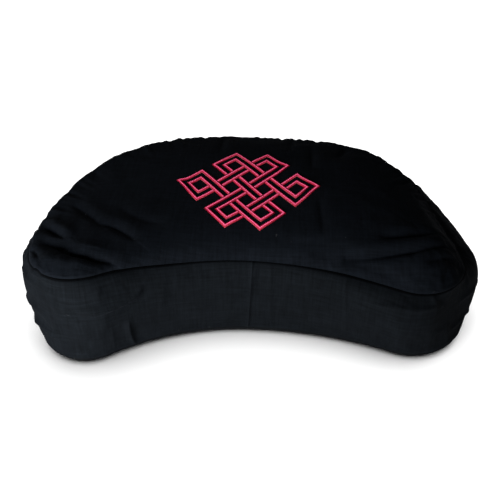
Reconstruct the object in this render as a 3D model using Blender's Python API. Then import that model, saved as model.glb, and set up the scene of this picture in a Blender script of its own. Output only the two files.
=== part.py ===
"""Crescent meditation cushion (zafu) with an endless knot embroidered on its top.

Metres, +Z up. The front of the cushion faces -Y and its two horns reach forward to the left
and right. The plan is drawn from the middle of the front seam and then moved so that the
origin lies on the floor under the middle of the cushion.

The cushion is one filled solid: a crowned top panel, a side band that bulges between its two
seams, and a base panel that is flat where it rests. The knot is a thin raised solid of satin
stitch that follows the crown.
"""

import math
from dataclasses import dataclass

import bmesh
import bpy
from mathutils import Vector
from mathutils.bvhtree import BVHTree

# ---------------------------------------------------------------------------
# Driving sizes, in metres
# ---------------------------------------------------------------------------

# Where the middle of the front seam lies from the origin.
FRONT_SEAM = Vector((-0.0061, -0.0704))
# From the front seam to the back seam, through the middle.
PLAN_DEPTH = 0.1895
# Height of the crown's crest in the middle, before the seat's hollow.
CREST_HEIGHT = 0.138
# Height of the lower seam, where the band turns under to the base.
HEM_HEIGHT = 0.010
# How far the hem stands out past the upper seam.
HEM_SPREAD = 0.0035
# From the hem in to where the base touches the floor.
HEM_INSET = 0.012
# How far the stitches draw a seam into the filling.
SEAM_SINK = 0.0022

# How fast the crown rises from the seam: a smaller power is a fuller edge.
CROWN_FLATNESS = 1.9
CROWN_POWER_BACK = 0.41
CROWN_POWER_FRONT = 0.45
# Below 1, the band's bulge sits above its middle.
BULGE_LIFT = 0.60
# Where the crown runs flat, how round its slope is: 1 is a cone.
SLOPE_POWER = 2.2
# Where the seam lies inside the rim, how near it the band leans in: larger is nearer.
LEAN_POWER = 1.56
# The shallow hollow that sitting leaves in the crown.
HOLLOW_MIDDLE = Vector((0.0, 0.060))
HOLLOW_REACH = Vector((0.100, 0.0455))
HOLLOW_DEPTH = 0.007

# Stations on each stretch of the seam, and rows of faces on each panel.
SIDE_STATIONS = 29
HORN_STATIONS = 18
TOP_ROWS = 14
BAND_ROWS = 11
# Above 1, the top's rows crowd towards the seam.
ROW_CROWDING = 1.3

# Small gathers along the back seam: two waves, counted over one turn, of which the narrow
# one is shifted and shallower. They fade past this turn from the middle of the back.
GATHER_DEPTH = 0.0008
BROAD_GATHERS = 7
NARROW_GATHERS = 10
NARROW_SHARE = 0.4
NARROW_SHIFT = 1.0
GATHER_REACH = 0.020
GATHER_FADE_TURN = 0.5

# The knot: spacing of its strands, width of a strand and of its stitched outline.
KNOT_MIDDLE = Vector((-0.0047, 0.0742))
KNOT_TURN = math.radians(42.4)
STRAND_PITCH = 0.0231
STRAND_WIDTH = 0.0112
STITCH_WIDTH = 0.0033
STITCH_HEIGHT = 0.0012
STITCH_CLEARANCE = 0.0004
GAP_PIECES = 2
# The corners that the stitching has drawn out to a point: the place on the chart in pitches,
# how far the point is drawn on the plan, and over how many pitches the pull fades each way.
DRAWN_TIPS = (
    (Vector((-0.22, -0.22)), Vector((0.0000, 0.0052)), Vector((0.38, 1.00))),
    (Vector((4.22, 4.22)), Vector((0.0001, 0.0062)), Vector((0.90, 0.90))),
    (Vector((4.22, 2.22)), Vector((0.0007, 0.0040)), Vector((0.42, 0.42))),
    (Vector((-0.22, 3.22)), Vector((-0.0012, 0.0024)), Vector((0.70, 0.70))),
    (Vector((0.78, 4.22)), Vector((0.0000, 0.0024)), Vector((0.70, 0.70))),
)

BLACK_COTTON = (0.0103, 0.0123, 0.0152, 1.0)
CRIMSON_THREAD = (0.451, 0.048, 0.109, 1.0)


@dataclass(frozen=True)
class Horn:
    """A rounded end of the crescent: its centre, its radius and how much lower the crest is.

    A larger power lets the crest drop later on its way to the horn.
    """

    x: float
    y: float
    radius: float
    crest_drop: float
    drop_power: float = 2.0


LEFT_HORN = Horn(x=0.164, y=-0.0055, radius=0.045, crest_drop=0.012)
RIGHT_HORN = Horn(x=0.1645, y=0.0225, radius=0.0535, crest_drop=0.018, drop_power=3.0)


@dataclass(frozen=True)
class SeamPlace:
    """The upper seam and the cloth beside it, at one place round the cushion.

    The turn is 0 at the middle of the back, 1 to 2 round the right horn, 3 at the middle of
    the front, 4 to 5 round the left horn and 6 at the middle of the back again. The height is
    the seam's, and the bulge is the band's below it. The inset is how far the seam lies inside
    the plan's rim. Flat is 0 where the crown has a full edge and 1 where it slopes straight.
    """

    turn: float
    height: float
    bulge: float
    inset: float = 0.0
    flat: float = 0.0


SEAM_PLACES = (
    SeamPlace(turn=0.0, height=0.1120, bulge=0.0100),
    SeamPlace(turn=0.5, height=0.1250, bulge=0.0190, flat=0.6),
    SeamPlace(turn=1.0, height=0.0900, bulge=0.0222, inset=0.0101, flat=1.0),
    SeamPlace(turn=1.5, height=0.0857, bulge=-0.0030, inset=0.0036, flat=0.8),
    SeamPlace(turn=2.0, height=0.0842, bulge=0.0136, inset=0.0042, flat=0.1),
    SeamPlace(turn=2.5, height=0.0935, bulge=0.0090),
    SeamPlace(turn=3.0, height=0.0975, bulge=0.0070),
    SeamPlace(turn=3.5, height=0.1000, bulge=0.0090),
    SeamPlace(turn=4.0, height=0.1110, bulge=0.0120),
    SeamPlace(turn=4.5, height=0.1120, bulge=0.0030),
    SeamPlace(turn=5.0, height=0.1120, bulge=0.0110),
    SeamPlace(turn=5.5, height=0.1310, bulge=0.0105),
)
FULL_TURN = 6.0


@dataclass(frozen=True)
class Fold:
    """A soft trough in the cloth through three places, with a low ridge on each side.

    On the top panel the places are (x, y), and on the front of the band they are (x, z). Both
    are measured from the foot of the front seam's middle.
    """

    start: tuple[float, float]
    middle: tuple[float, float]
    end: tuple[float, float]
    width: float
    depth: float


TOP_FOLDS = (
    # Left horn: the deep pull at the tip, and the hollow with the long trough by the seam.
    Fold((-0.202, 0.018), (-0.189, 0.006), (-0.175, -0.005), width=0.006, depth=0.0044),
    Fold((-0.194, -0.007), (-0.181, -0.014), (-0.166, -0.017), width=0.008, depth=0.0044),
    Fold((-0.178, -0.018), (-0.155, -0.027), (-0.126, -0.030), width=0.005, depth=0.0044),
    Fold((-0.206, -0.014), (-0.201, -0.020), (-0.194, -0.027), width=0.004, depth=0.0020),
    # Left shoulder: one long pull in two strokes, and a faint one behind it.
    Fold((-0.177, 0.041), (-0.159, 0.028), (-0.137, 0.012), width=0.006, depth=0.0034),
    Fold((-0.139, 0.014), (-0.117, 0.006), (-0.098, -0.005), width=0.006, depth=0.0036),
    Fold((-0.129, 0.039), (-0.109, 0.025), (-0.087, 0.020), width=0.007, depth=0.0016),
    # Right horn: two long pulls towards the middle, and short ones at the tip.
    Fold((0.092, -0.005), (0.146, -0.001), (0.190, 0.013), width=0.006, depth=0.0044),
    Fold((0.128, 0.013), (0.151, 0.018), (0.176, 0.024), width=0.005, depth=0.0034),
    Fold((0.169, -0.009), (0.182, -0.003), (0.197, 0.004), width=0.005, depth=0.0020),
    # Beside the knot, and the pulls that run in from the back seam.
    Fold((0.062, 0.034), (0.067, 0.045), (0.071, 0.056), width=0.007, depth=0.0016),
    Fold((0.098, 0.154), (0.095, 0.144), (0.089, 0.132), width=0.006, depth=0.0026),
    Fold((0.067, 0.140), (0.067, 0.117), (0.066, 0.094), width=0.006, depth=0.0014),
    Fold((-0.044, 0.153), (-0.043, 0.140), (-0.042, 0.127), width=0.006, depth=0.0014),
)

BAND_FOLDS = (
    # The join of the band's two ends, at the middle of the front.
    Fold((0.003, 0.096), (0.000, 0.055), (-0.001, 0.008), width=0.004, depth=0.0014),
    # Left: the slanting pull under the seam, and short ones near the hem.
    Fold((-0.110, 0.097), (-0.120, 0.091), (-0.148, 0.091), width=0.005, depth=0.0030),
    Fold((-0.150, 0.092), (-0.168, 0.084), (-0.186, 0.080), width=0.008, depth=0.0018),
    Fold((-0.117, 0.044), (-0.116, 0.028), (-0.113, 0.012), width=0.005, depth=0.0018),
    Fold((-0.130, 0.040), (-0.129, 0.026), (-0.127, 0.012), width=0.005, depth=0.0014),
    Fold((-0.210, 0.038), (-0.195, 0.039), (-0.179, 0.035), width=0.005, depth=0.0024),
    # Right: the dent under the seam.
    Fold((0.119, 0.072), (0.146, 0.074), (0.176, 0.072), width=0.006, depth=0.0028),
)
FOLD_STEPS = 12
# How shallow a fold is at its ends, as a share of half a wave.
FOLD_END = 0.06
# The ridge beside a trough: its height as a share of the depth, and where it lies in widths.
RIDGE_SHARE = 0.32
RIDGE_OFFSET = 2.1
# The turns between which a place on the band faces the front.
FRONT_TURNS = (1.45, 4.55)

# The chart of the endless knot: 5 strands each way, and the stretches that each one covers.
# Both directions have the same runs. The ends of two runs that meet make a bend.
KNOT_RUNS = {
    0: ((0, 1), (2, 3)),
    1: ((0, 4),),
    2: ((0, 4),),
    3: ((0, 4),),
    4: ((1, 2), (3, 4)),
}
LAST_STRAND = 4


# ---------------------------------------------------------------------------
# Plan
# ---------------------------------------------------------------------------


@dataclass(frozen=True)
class Station:
    """One place round the cushion: the seam's point, the crest's point, and the turn."""

    rim: Vector
    crest: Vector
    turn: float

    @property
    def outward(self):
        return (self.rim - self.crest).normalized()


@dataclass(frozen=True)
class Arc:
    """An arc about (0, centre) that starts on the middle line and sweeps to a horn."""

    centre: float
    radius: float
    sweep: float

    def point(self, share):
        angle = self.sweep * share
        return Vector((self.radius * math.sin(angle), self.centre + self.radius * math.cos(angle)))


def arc_to_horn(middle_y, clearance, horn):
    """The arc through (0, middle_y) that passes the horn's centre at this clearance."""
    reach = middle_y + clearance
    centre = (reach**2 - horn.x**2 - horn.y**2) / (2 * (reach - horn.y))
    sweep = math.atan2(horn.x, horn.y - centre)
    return Arc(centre, middle_y - centre, sweep)


def half_loop(horn):
    """Stations from the middle of the back round one horn to the middle of the front."""
    back = arc_to_horn(PLAN_DEPTH, -horn.radius, horn)
    crest = arc_to_horn(PLAN_DEPTH / 2, 0, horn)
    front = arc_to_horn(0, horn.radius, horn)
    tip = Vector((horn.x, horn.y))
    stations = []
    for step in range(SIDE_STATIONS):
        share = step / SIDE_STATIONS
        stations.append(Station(back.point(share), crest.point(share), share))
    for step in range(HORN_STATIONS):
        share = step / HORN_STATIONS
        angle = back.sweep + (math.pi + front.sweep - back.sweep) * share
        rim = tip + horn.radius * Vector((math.sin(angle), math.cos(angle)))
        stations.append(Station(rim, tip, 1 + share))
    for step in range(SIDE_STATIONS + 1):
        share = step / SIDE_STATIONS
        stations.append(Station(front.point(1 - share), crest.point(1 - share), 2 + share))
    return stations


def mirrored(station):
    rim = Vector((-station.rim.x, station.rim.y))
    crest = Vector((-station.crest.x, station.crest.y))
    return Station(rim, crest, FULL_TURN - station.turn)


def whole_loop():
    """Stations clockwise from above: the back, the right horn, the front, the left horn."""
    right = half_loop(RIGHT_HORN)
    left = [mirrored(station) for station in reversed(half_loop(LEFT_HORN))]
    return right + left[1:-1]


# ---------------------------------------------------------------------------
# Heights and bulges
# ---------------------------------------------------------------------------


def smooth_step(share):
    share = min(max(share, 0.0), 1.0)
    return share * share * (3 - 2 * share)


def between_places(turn, column):
    """One of SEAM_PLACES's columns at this turn, on a smooth closed curve through its rows."""
    count = len(SEAM_PLACES)
    spacing = FULL_TURN / count
    index = int(turn / spacing) % count
    share = turn / spacing - int(turn / spacing)
    before, first, second, after = (
        getattr(SEAM_PLACES[(index + offset) % count], column) for offset in (-1, 0, 1, 2)
    )
    rise_first = (second - before) / 2
    rise_second = (after - first) / 2
    square, cube = share**2, share**3
    return (
        first * (2 * cube - 3 * square + 1)
        + second * (3 * square - 2 * cube)
        + rise_first * (cube - 2 * square + share)
        + rise_second * (cube - square)
    )


def crest_height(station):
    horn = RIGHT_HORN if station.crest.x > 0 else LEFT_HORN
    return CREST_HEIGHT - horn.crest_drop * abs(station.crest.x / horn.x) ** horn.drop_power


def crown_power(turn):
    share = smooth_step(turn - 1) if turn <= FULL_TURN / 2 else smooth_step(FULL_TURN - 1 - turn)
    return CROWN_POWER_BACK + (CROWN_POWER_FRONT - CROWN_POWER_BACK) * share


def hollow(place):
    """How far sitting has pressed the crown down at this place of the plan."""
    across, along = (place.x - HOLLOW_MIDDLE.x), (place.y - HOLLOW_MIDDLE.y)
    return HOLLOW_DEPTH * math.exp(-((across / HOLLOW_REACH.x) ** 2) - (along / HOLLOW_REACH.y) ** 2)


def top_point(station, reach):
    """A point of the top panel, from the crest at reach 0 to the seam at reach 1."""
    seam_place = station.rim - station.outward * between_places(station.turn, "inset")
    place = station.crest.lerp(seam_place, reach)
    seam = between_places(station.turn, "height")
    full = max(0.0, 1 - reach**CROWN_FLATNESS) ** crown_power(station.turn)
    rise = full + (1 - reach**SLOPE_POWER - full) * between_places(station.turn, "flat")
    height = seam + (crest_height(station) - seam) * rise - hollow(place)
    return Vector((place.x, place.y, height))


def band_point(station, fall):
    """A point of the side band, from the upper seam at fall 0 to the hem at fall 1."""
    seam = between_places(station.turn, "height")
    bulge = between_places(station.turn, "bulge")
    lean = between_places(station.turn, "inset") * (1 - fall) ** LEAN_POWER
    out = bulge * math.sin(math.pi * fall**BULGE_LIFT) + HEM_SPREAD * fall - lean
    place = station.rim + station.outward * out
    return Vector((place.x, place.y, seam + (HEM_HEIGHT - seam) * fall))


def base_point(station, inset):
    """A point of the base panel, from the hem at inset 0 to the floor at inset 1."""
    place = station.rim + station.outward * (HEM_SPREAD - HEM_INSET * inset)
    return Vector((place.x, place.y, HEM_HEIGHT * (1 - inset) ** 2))


def drawn_in(station, point):
    """The point pulled into the filling by the seam's stitches."""
    pull = station.outward * SEAM_SINK
    return point - Vector((pull.x, pull.y, 0))


# ---------------------------------------------------------------------------
# Folds and gathers
# ---------------------------------------------------------------------------


def fold_route(fold):
    """Points along the fold's curve, which passes through its middle place."""
    start, middle, end = (Vector(place) for place in (fold.start, fold.middle, fold.end))
    handle = 2 * middle - (start + end) / 2
    route = []
    for step in range(FOLD_STEPS + 1):
        share = step / FOLD_STEPS
        route.append((1 - share) ** 2 * start + 2 * share * (1 - share) * handle + share**2 * end)
    return route


def fold_relief(fold, route, place):
    """How far one fold moves the cloth at this place: below 0 in its trough."""
    nearest, share = math.inf, 0.0
    for step in range(FOLD_STEPS):
        start, along = route[step], route[step + 1] - route[step]
        part = min(max((place - start).dot(along) / along.length_squared, 0.0), 1.0)
        distance = (place - start - along * part).length
        if distance < nearest:
            nearest, share = distance, (step + part) / FOLD_STEPS
    fade = math.sqrt(math.sin(math.pi * (FOLD_END + (1 - 2 * FOLD_END) * share)))
    across = nearest / fold.width
    trough = math.exp(-(across**2))
    ridge = RIDGE_SHARE * math.exp(-((across - RIDGE_OFFSET) ** 2))
    return fold.depth * fade * (ridge - trough)


def relief_of(folds, routes, place):
    return sum(fold_relief(fold, route, place) for fold, route in zip(folds, routes))


def gather(turn, seam_distance):
    """The shallow gathers along the back seam, which fade away from it."""
    from_back = min(turn, FULL_TURN - turn)
    fade = 1 - smooth_step(from_back - GATHER_FADE_TURN)
    broad = math.sin(math.tau * BROAD_GATHERS * turn)
    narrow = NARROW_SHARE * math.sin(math.tau * NARROW_GATHERS * turn + NARROW_SHIFT)
    near = math.exp(-((seam_distance / GATHER_REACH) ** 2))
    return GATHER_DEPTH * fade * near * (broad + narrow - 1)


# ---------------------------------------------------------------------------
# The cushion's solid
# ---------------------------------------------------------------------------


def top_reaches():
    """Where the top's rows lie: 1 at the seam and 0 at the crest, crowded near the seam."""
    return [1 - (row / TOP_ROWS) ** ROW_CROWDING for row in range(TOP_ROWS + 1)]


def band_falls():
    """Where the band's rows lie below the upper seam, crowded near both seams."""
    return [(1 - math.cos(math.pi * row / BAND_ROWS)) / 2 for row in range(1, BAND_ROWS + 1)]


def bridge(mesh, upper, lower):
    """Faces between two closed rows of points. A point that a row repeats makes a triangle."""
    count = len(upper)
    for index in range(count):
        following = (index + 1) % count
        corners = (upper[index], upper[following], lower[following], lower[index])
        mesh.faces.new(dict.fromkeys(corners))


def crest_row(mesh, stations, height):
    """The row on the crest's line, where the back's and the front's stations share points."""
    shared = {}
    row = []
    for station in stations:
        key = (round(station.crest.x, 6), round(station.crest.y, 6))
        if key not in shared:
            shared[key] = mesh.verts.new((station.crest.x, station.crest.y, height(station)))
        row.append(shared[key])
    return row


def cushion_rows(mesh, stations):
    """The rows of points from the crest, out over the band and in under the base.

    Returns the top's rows from the seam to the crest, the band's rows from below the seam to
    the hem, and the base's rows from the hem's inside to the crest's line.
    """
    top = []
    for reach in top_reaches()[:-1]:
        points = [top_point(station, reach) for station in stations]
        if reach == 1:
            points = [drawn_in(*pair) for pair in zip(stations, points)]
        top.append([mesh.verts.new(point) for point in points])
    top.append(crest_row(mesh, stations, height=lambda station: top_point(station, 0).z))
    band = []
    for fall in band_falls():
        points = [band_point(station, fall) for station in stations]
        if fall == 1:
            points = [drawn_in(*pair) for pair in zip(stations, points)]
        band.append([mesh.verts.new(point) for point in points])
    base = [[mesh.verts.new(base_point(station, inset)) for station in stations] for inset in (0.5, 1)]
    base.append(crest_row(mesh, stations, height=lambda station: 0.0))
    return top, band, base


def crease_top(stations, top):
    """Moves the top's points along their normals into its folds and gathers."""
    routes = [fold_route(fold) for fold in TOP_FOLDS]
    for row, reach in zip(top, top_reaches()):
        for vertex, station in dict(zip(row, stations)).items():
            seam_distance = (1 - reach) * (station.rim - station.crest).length
            move = relief_of(TOP_FOLDS, routes, vertex.co.xy) + gather(station.turn, seam_distance)
            vertex.co += vertex.normal * move


def crease_band(stations, band):
    """Moves the band's points along their normals into its folds and gathers."""
    routes = [fold_route(fold) for fold in BAND_FOLDS]
    for row, fall in zip(band[:-1], band_falls()):
        for station, vertex in zip(stations, row):
            seam_distance = fall * between_places(station.turn, "height")
            move = gather(station.turn, seam_distance)
            if FRONT_TURNS[0] < station.turn < FRONT_TURNS[1]:
                move += relief_of(BAND_FOLDS, routes, vertex.co.xz)
            vertex.co += vertex.normal * move


def make_cushion():
    stations = whole_loop()
    mesh = bmesh.new()
    top, band, base = cushion_rows(mesh, stations)
    rows = list(reversed(top)) + band + base
    for upper, lower in zip(rows, rows[1:]):
        bridge(mesh, upper, lower)
    mesh.normal_update()
    crease_top(stations, top)
    crease_band(stations, band)
    bmesh.ops.translate(mesh, verts=mesh.verts, vec=FRONT_SEAM.to_3d())
    bmesh.ops.recalc_face_normals(mesh, faces=mesh.faces)
    bmesh.ops.triangulate(mesh, faces=mesh.faces)
    return mesh


# ---------------------------------------------------------------------------
# The knot's solid
# ---------------------------------------------------------------------------


def covers(strand, start):
    """Whether this strand runs from this crossing line to the next one."""
    return any(first <= start < last for first, last in KNOT_RUNS.get(strand, ()))


def arms(across, along):
    """The ways (+1 or -1 for each axis, 0 for both) in which the strands leave this place."""
    ways_across = covers(along, across) - covers(along, across - 1)
    ways_along = covers(across, along) - covers(across, along - 1)
    return ways_across, ways_along


def is_crossing(across, along):
    return 0 < across < LAST_STRAND and 0 < along < LAST_STRAND


def stitched_at_place(across, along, side_across, side_along):
    """Whether a cell of the 3 by 3 block where strands meet is stitched. Sides are -1, 0 or 1."""
    if is_crossing(across, along):
        # The upper strand alternates, and its two outlines run on over the lower strand.
        over = side_across if (across + along) % 2 == 0 else side_along
        return over != 0
    way_across, way_along = arms(across, along)
    if way_across == 0 or way_along == 0:
        return False
    outer_corner = side_across == -way_across or side_along == -way_along
    inner_corner = side_across == way_across and side_along == way_along
    return outer_corner or inner_corner


@dataclass(frozen=True)
class Division:
    """One slice of the chart along an axis: its strand and side, or the gap after a strand."""

    start: float
    end: float
    strand: int
    side: int | None


def chart_divisions():
    """Slices along one axis of the chart, in pitches: outline, core and outline, then a gap."""
    half = STRAND_WIDTH / STRAND_PITCH / 2
    line = STITCH_WIDTH / STRAND_PITCH
    divisions = []
    for strand in range(LAST_STRAND + 1):
        edges = (strand - half, strand - half + line, strand + half - line, strand + half)
        for side, start, end in zip((-1, 0, 1), edges, edges[1:]):
            divisions.append(Division(start, end, strand, side))
        if strand == LAST_STRAND:
            break
        width = (1 - 2 * half) / GAP_PIECES
        for piece in range(GAP_PIECES):
            start = edges[-1] + piece * width
            divisions.append(Division(start, start + width, strand, None))
    return divisions


def is_stitched(across, along):
    """Whether the cell in these two slices of the chart is stitched."""
    if across.side is None and along.side is None:
        return False
    if across.side is None:
        return along.side != 0 and covers(along.strand, across.strand)
    if along.side is None:
        return across.side != 0 and covers(across.strand, along.strand)
    return stitched_at_place(across.strand, along.strand, across.side, along.side)


def chart_to_plan(across, along):
    """A place of the chart, in pitches, as a place on the cushion."""
    right, back = across - LAST_STRAND / 2, along - LAST_STRAND / 2
    cosine, sine = math.cos(KNOT_TURN), math.sin(KNOT_TURN)
    offset = Vector((cosine * right + sine * back, sine * right - cosine * back))
    place = FRONT_SEAM + KNOT_MIDDLE + STRAND_PITCH * offset
    for tip, move, reach in DRAWN_TIPS:
        gap = Vector((across, along)) - tip
        place += move * math.exp(-((gap.x / reach.x) ** 2) - (gap.y / reach.y) ** 2)
    return place


class KnotMesh:
    """The stitched cells of the chart, laid on the crown as one thin solid."""

    def __init__(self, crown):
        self.crown = crown
        self.mesh = bmesh.new()
        self.divisions = chart_divisions()
        self.edges = [self.divisions[0].start] + [division.end for division in self.divisions]
        self.corners = {}

    def corner(self, across, along, layer):
        """The vertex at a corner of the chart: layer 0 lies on the cloth, 1 on the stitches."""
        key = (across, along, layer)
        if key not in self.corners:
            place = chart_to_plan(self.edges[across], self.edges[along])
            hit = self.crown.ray_cast((place.x, place.y, 2 * CREST_HEIGHT), (0, 0, -1))[0]
            height = hit.z + STITCH_CLEARANCE + layer * STITCH_HEIGHT
            self.corners[key] = self.mesh.verts.new((place.x, place.y, height))
        return self.corners[key]

    def stitched(self, across, along):
        count = len(self.divisions)
        inside = 0 <= across < count and 0 <= along < count
        return inside and is_stitched(self.divisions[across], self.divisions[along])

    def add_cell(self, across, along):
        """The top and bottom of one cell, and a wall on each side that has no neighbour."""
        ring = ((across, along), (across + 1, along), (across + 1, along + 1), (across, along + 1))
        beyond = ((across, along - 1), (across + 1, along), (across, along + 1), (across - 1, along))
        for layer in (0, 1):
            self.mesh.faces.new([self.corner(*place, layer) for place in ring])
        for index, neighbour in enumerate(beyond):
            if self.stitched(*neighbour):
                continue
            first, second = ring[index], ring[(index + 1) % 4]
            wall = ((*first, 0), (*second, 0), (*second, 1), (*first, 1))
            self.mesh.faces.new([self.corner(*place) for place in wall])

    def build(self):
        count = len(self.divisions)
        for across in range(count):
            for along in range(count):
                if self.stitched(across, along):
                    self.add_cell(across, along)
        bmesh.ops.recalc_face_normals(self.mesh, faces=self.mesh.faces)
        return self.mesh


# ---------------------------------------------------------------------------
# Objects and materials
# ---------------------------------------------------------------------------


def clear_scene():
    for thing in list(bpy.data.objects):
        bpy.data.objects.remove(thing)


def cloth_material(name, colour, roughness):
    material = bpy.data.materials.new(name)
    material.use_nodes = True
    shader = material.node_tree.nodes["Principled BSDF"]
    shader.inputs["Base Color"].default_value = colour
    shader.inputs["Roughness"].default_value = roughness
    shader.inputs["Metallic"].default_value = 0.0
    return material


def add_object(name, mesh, material, sharp_angle):
    data = bpy.data.meshes.new(name)
    mesh.to_mesh(data)
    data.materials.append(material)
    data.shade_smooth()
    data.set_sharp_from_angle(angle=math.radians(sharp_angle))
    piece = bpy.data.objects.new(name, data)
    bpy.context.scene.collection.objects.link(piece)
    return piece


def main():
    clear_scene()
    cotton = cloth_material("black_cotton", BLACK_COTTON, roughness=0.92)
    thread = cloth_material("crimson_thread", CRIMSON_THREAD, roughness=0.5)
    cushion = make_cushion()
    knot = KnotMesh(BVHTree.FromBMesh(cushion)).build()
    add_object("cushion", cushion, cotton, sharp_angle=50)
    add_object("knot_embroidery", knot, thread, sharp_angle=40)
    cushion.free()
    knot.free()


main()
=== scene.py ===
"""Looks of the crescent meditation cushion: cloth, seams, stitches, embroidery, light and view.

Metres, +Z up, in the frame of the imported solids. The front of the cushion faces -Y. The cover is
drawn from the same driving sizes as its solid, in the three panels that are sewn together: a
crowned top, a side band whose two ends are joined at the middle of the front, and a flat base. A
short cloth simulation gives the cover the small wrinkles of a filled cushion, and the creases
that its filling pulls are laid over them. The endless knot is stitched on the top thread by
thread, from the rule of its strands.
"""

from __future__ import annotations

import logging
import math
from dataclasses import dataclass, field
from enum import Enum

import bpy
import numpy as np
from mathutils import Matrix, Vector
from mathutils.bvhtree import BVHTree

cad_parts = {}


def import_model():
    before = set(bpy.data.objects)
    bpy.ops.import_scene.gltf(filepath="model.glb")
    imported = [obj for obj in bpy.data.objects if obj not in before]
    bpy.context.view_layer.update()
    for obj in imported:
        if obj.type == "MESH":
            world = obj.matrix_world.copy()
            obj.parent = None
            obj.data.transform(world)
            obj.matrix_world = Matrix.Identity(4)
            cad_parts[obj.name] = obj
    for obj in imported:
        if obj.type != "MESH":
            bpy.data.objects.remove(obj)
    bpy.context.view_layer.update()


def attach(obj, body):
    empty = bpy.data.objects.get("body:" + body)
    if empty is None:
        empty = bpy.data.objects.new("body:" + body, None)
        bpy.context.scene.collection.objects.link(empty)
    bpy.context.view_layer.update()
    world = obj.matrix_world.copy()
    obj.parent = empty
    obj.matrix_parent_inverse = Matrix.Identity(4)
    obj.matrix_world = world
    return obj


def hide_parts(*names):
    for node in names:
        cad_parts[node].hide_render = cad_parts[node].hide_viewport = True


LOG = logging.getLogger("crescent_cushion")
BODY = "root"
Array = np.ndarray
Colour = tuple[float, float, float, float]
Place = tuple[float, float]
Range = tuple[float, float]
FULL_TURN = 6.0
CROWDED_TO_SEAM = 2.4
KNOT_MIDDLE = (-0.0047, 0.0742)


# ----- Plan of the crescent -----


@dataclass(frozen=True)
class Horn:
    """A rounded end of the crescent.

    Attributes:
        x: How far its centre lies from the middle line.
        y: How far its centre lies behind the middle of the front seam.
        radius: Radius of the seam round it.
        crest_drop: How much lower the crown's crest is here than in the middle.
        drop_power: How late on the way to the horn it drops; larger is later.
    """

    x: float
    y: float
    radius: float
    crest_drop: float
    drop_power: float = 2.0


@dataclass(frozen=True)
class Arc:
    """An arc about (0, centre) that starts on the middle line and sweeps to a horn."""

    centre: float
    radius: float
    sweep: float

    @classmethod
    def to_horn(cls, middle_y: float, clearance: float, horn: Horn) -> Arc:
        """Draws the arc that passes a horn's centre at a given clearance.

        Args:
            middle_y: Where the arc crosses the middle line.
            clearance: Distance from the arc to the horn's centre, below 0 for an arc outside it.
            horn: The horn that the arc sweeps to.

        Returns:
            The arc.
        """
        reach = middle_y + clearance
        centre = (reach**2 - horn.x**2 - horn.y**2) / (2 * (reach - horn.y))
        return cls(centre, middle_y - centre, math.atan2(horn.x, horn.y - centre))

    def points(self, shares: Array) -> Array:
        """Places points along the arc.

        Args:
            shares: Shares of the sweep.

        Returns:
            A point for each share.
        """
        angles = self.sweep * shares
        across = self.radius * np.sin(angles)
        return np.stack([across, self.centre + self.radius * np.cos(angles)], axis=-1)


@dataclass(frozen=True)
class Loop:
    """Stations round the cushion.

    Attributes:
        rim: The seam's point at each station, on the plan.
        crest: The crest's point that the station looks out from.
        turns: 0 at the middle of the back, 1 to 2 round the right horn, 3 at the middle of the
            front, 4 to 5 round the left horn, and FULL_TURN at the middle of the back again.
    """

    rim: Array
    crest: Array
    turns: Array

    @property
    def outward(self) -> Array:
        """The level direction from the crest to the seam at each station."""
        across = self.rim - self.crest
        return across / np.linalg.norm(across, axis=1, keepdims=True)

    def followed_by(self, other: Loop) -> Loop:
        """Joins another loop to the end of this one.

        Args:
            other: The loop that starts at this one's last station.

        Returns:
            Both loops, with the shared station once.
        """
        return Loop(
            np.concatenate([self.rim, other.rim[1:]]),
            np.concatenate([self.crest, other.crest[1:]]),
            np.concatenate([self.turns, other.turns[1:]]),
        )

    def without_last(self) -> Loop:
        """Leaves out the last station."""
        return Loop(self.rim[:-1], self.crest[:-1], self.turns[:-1])


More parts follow.
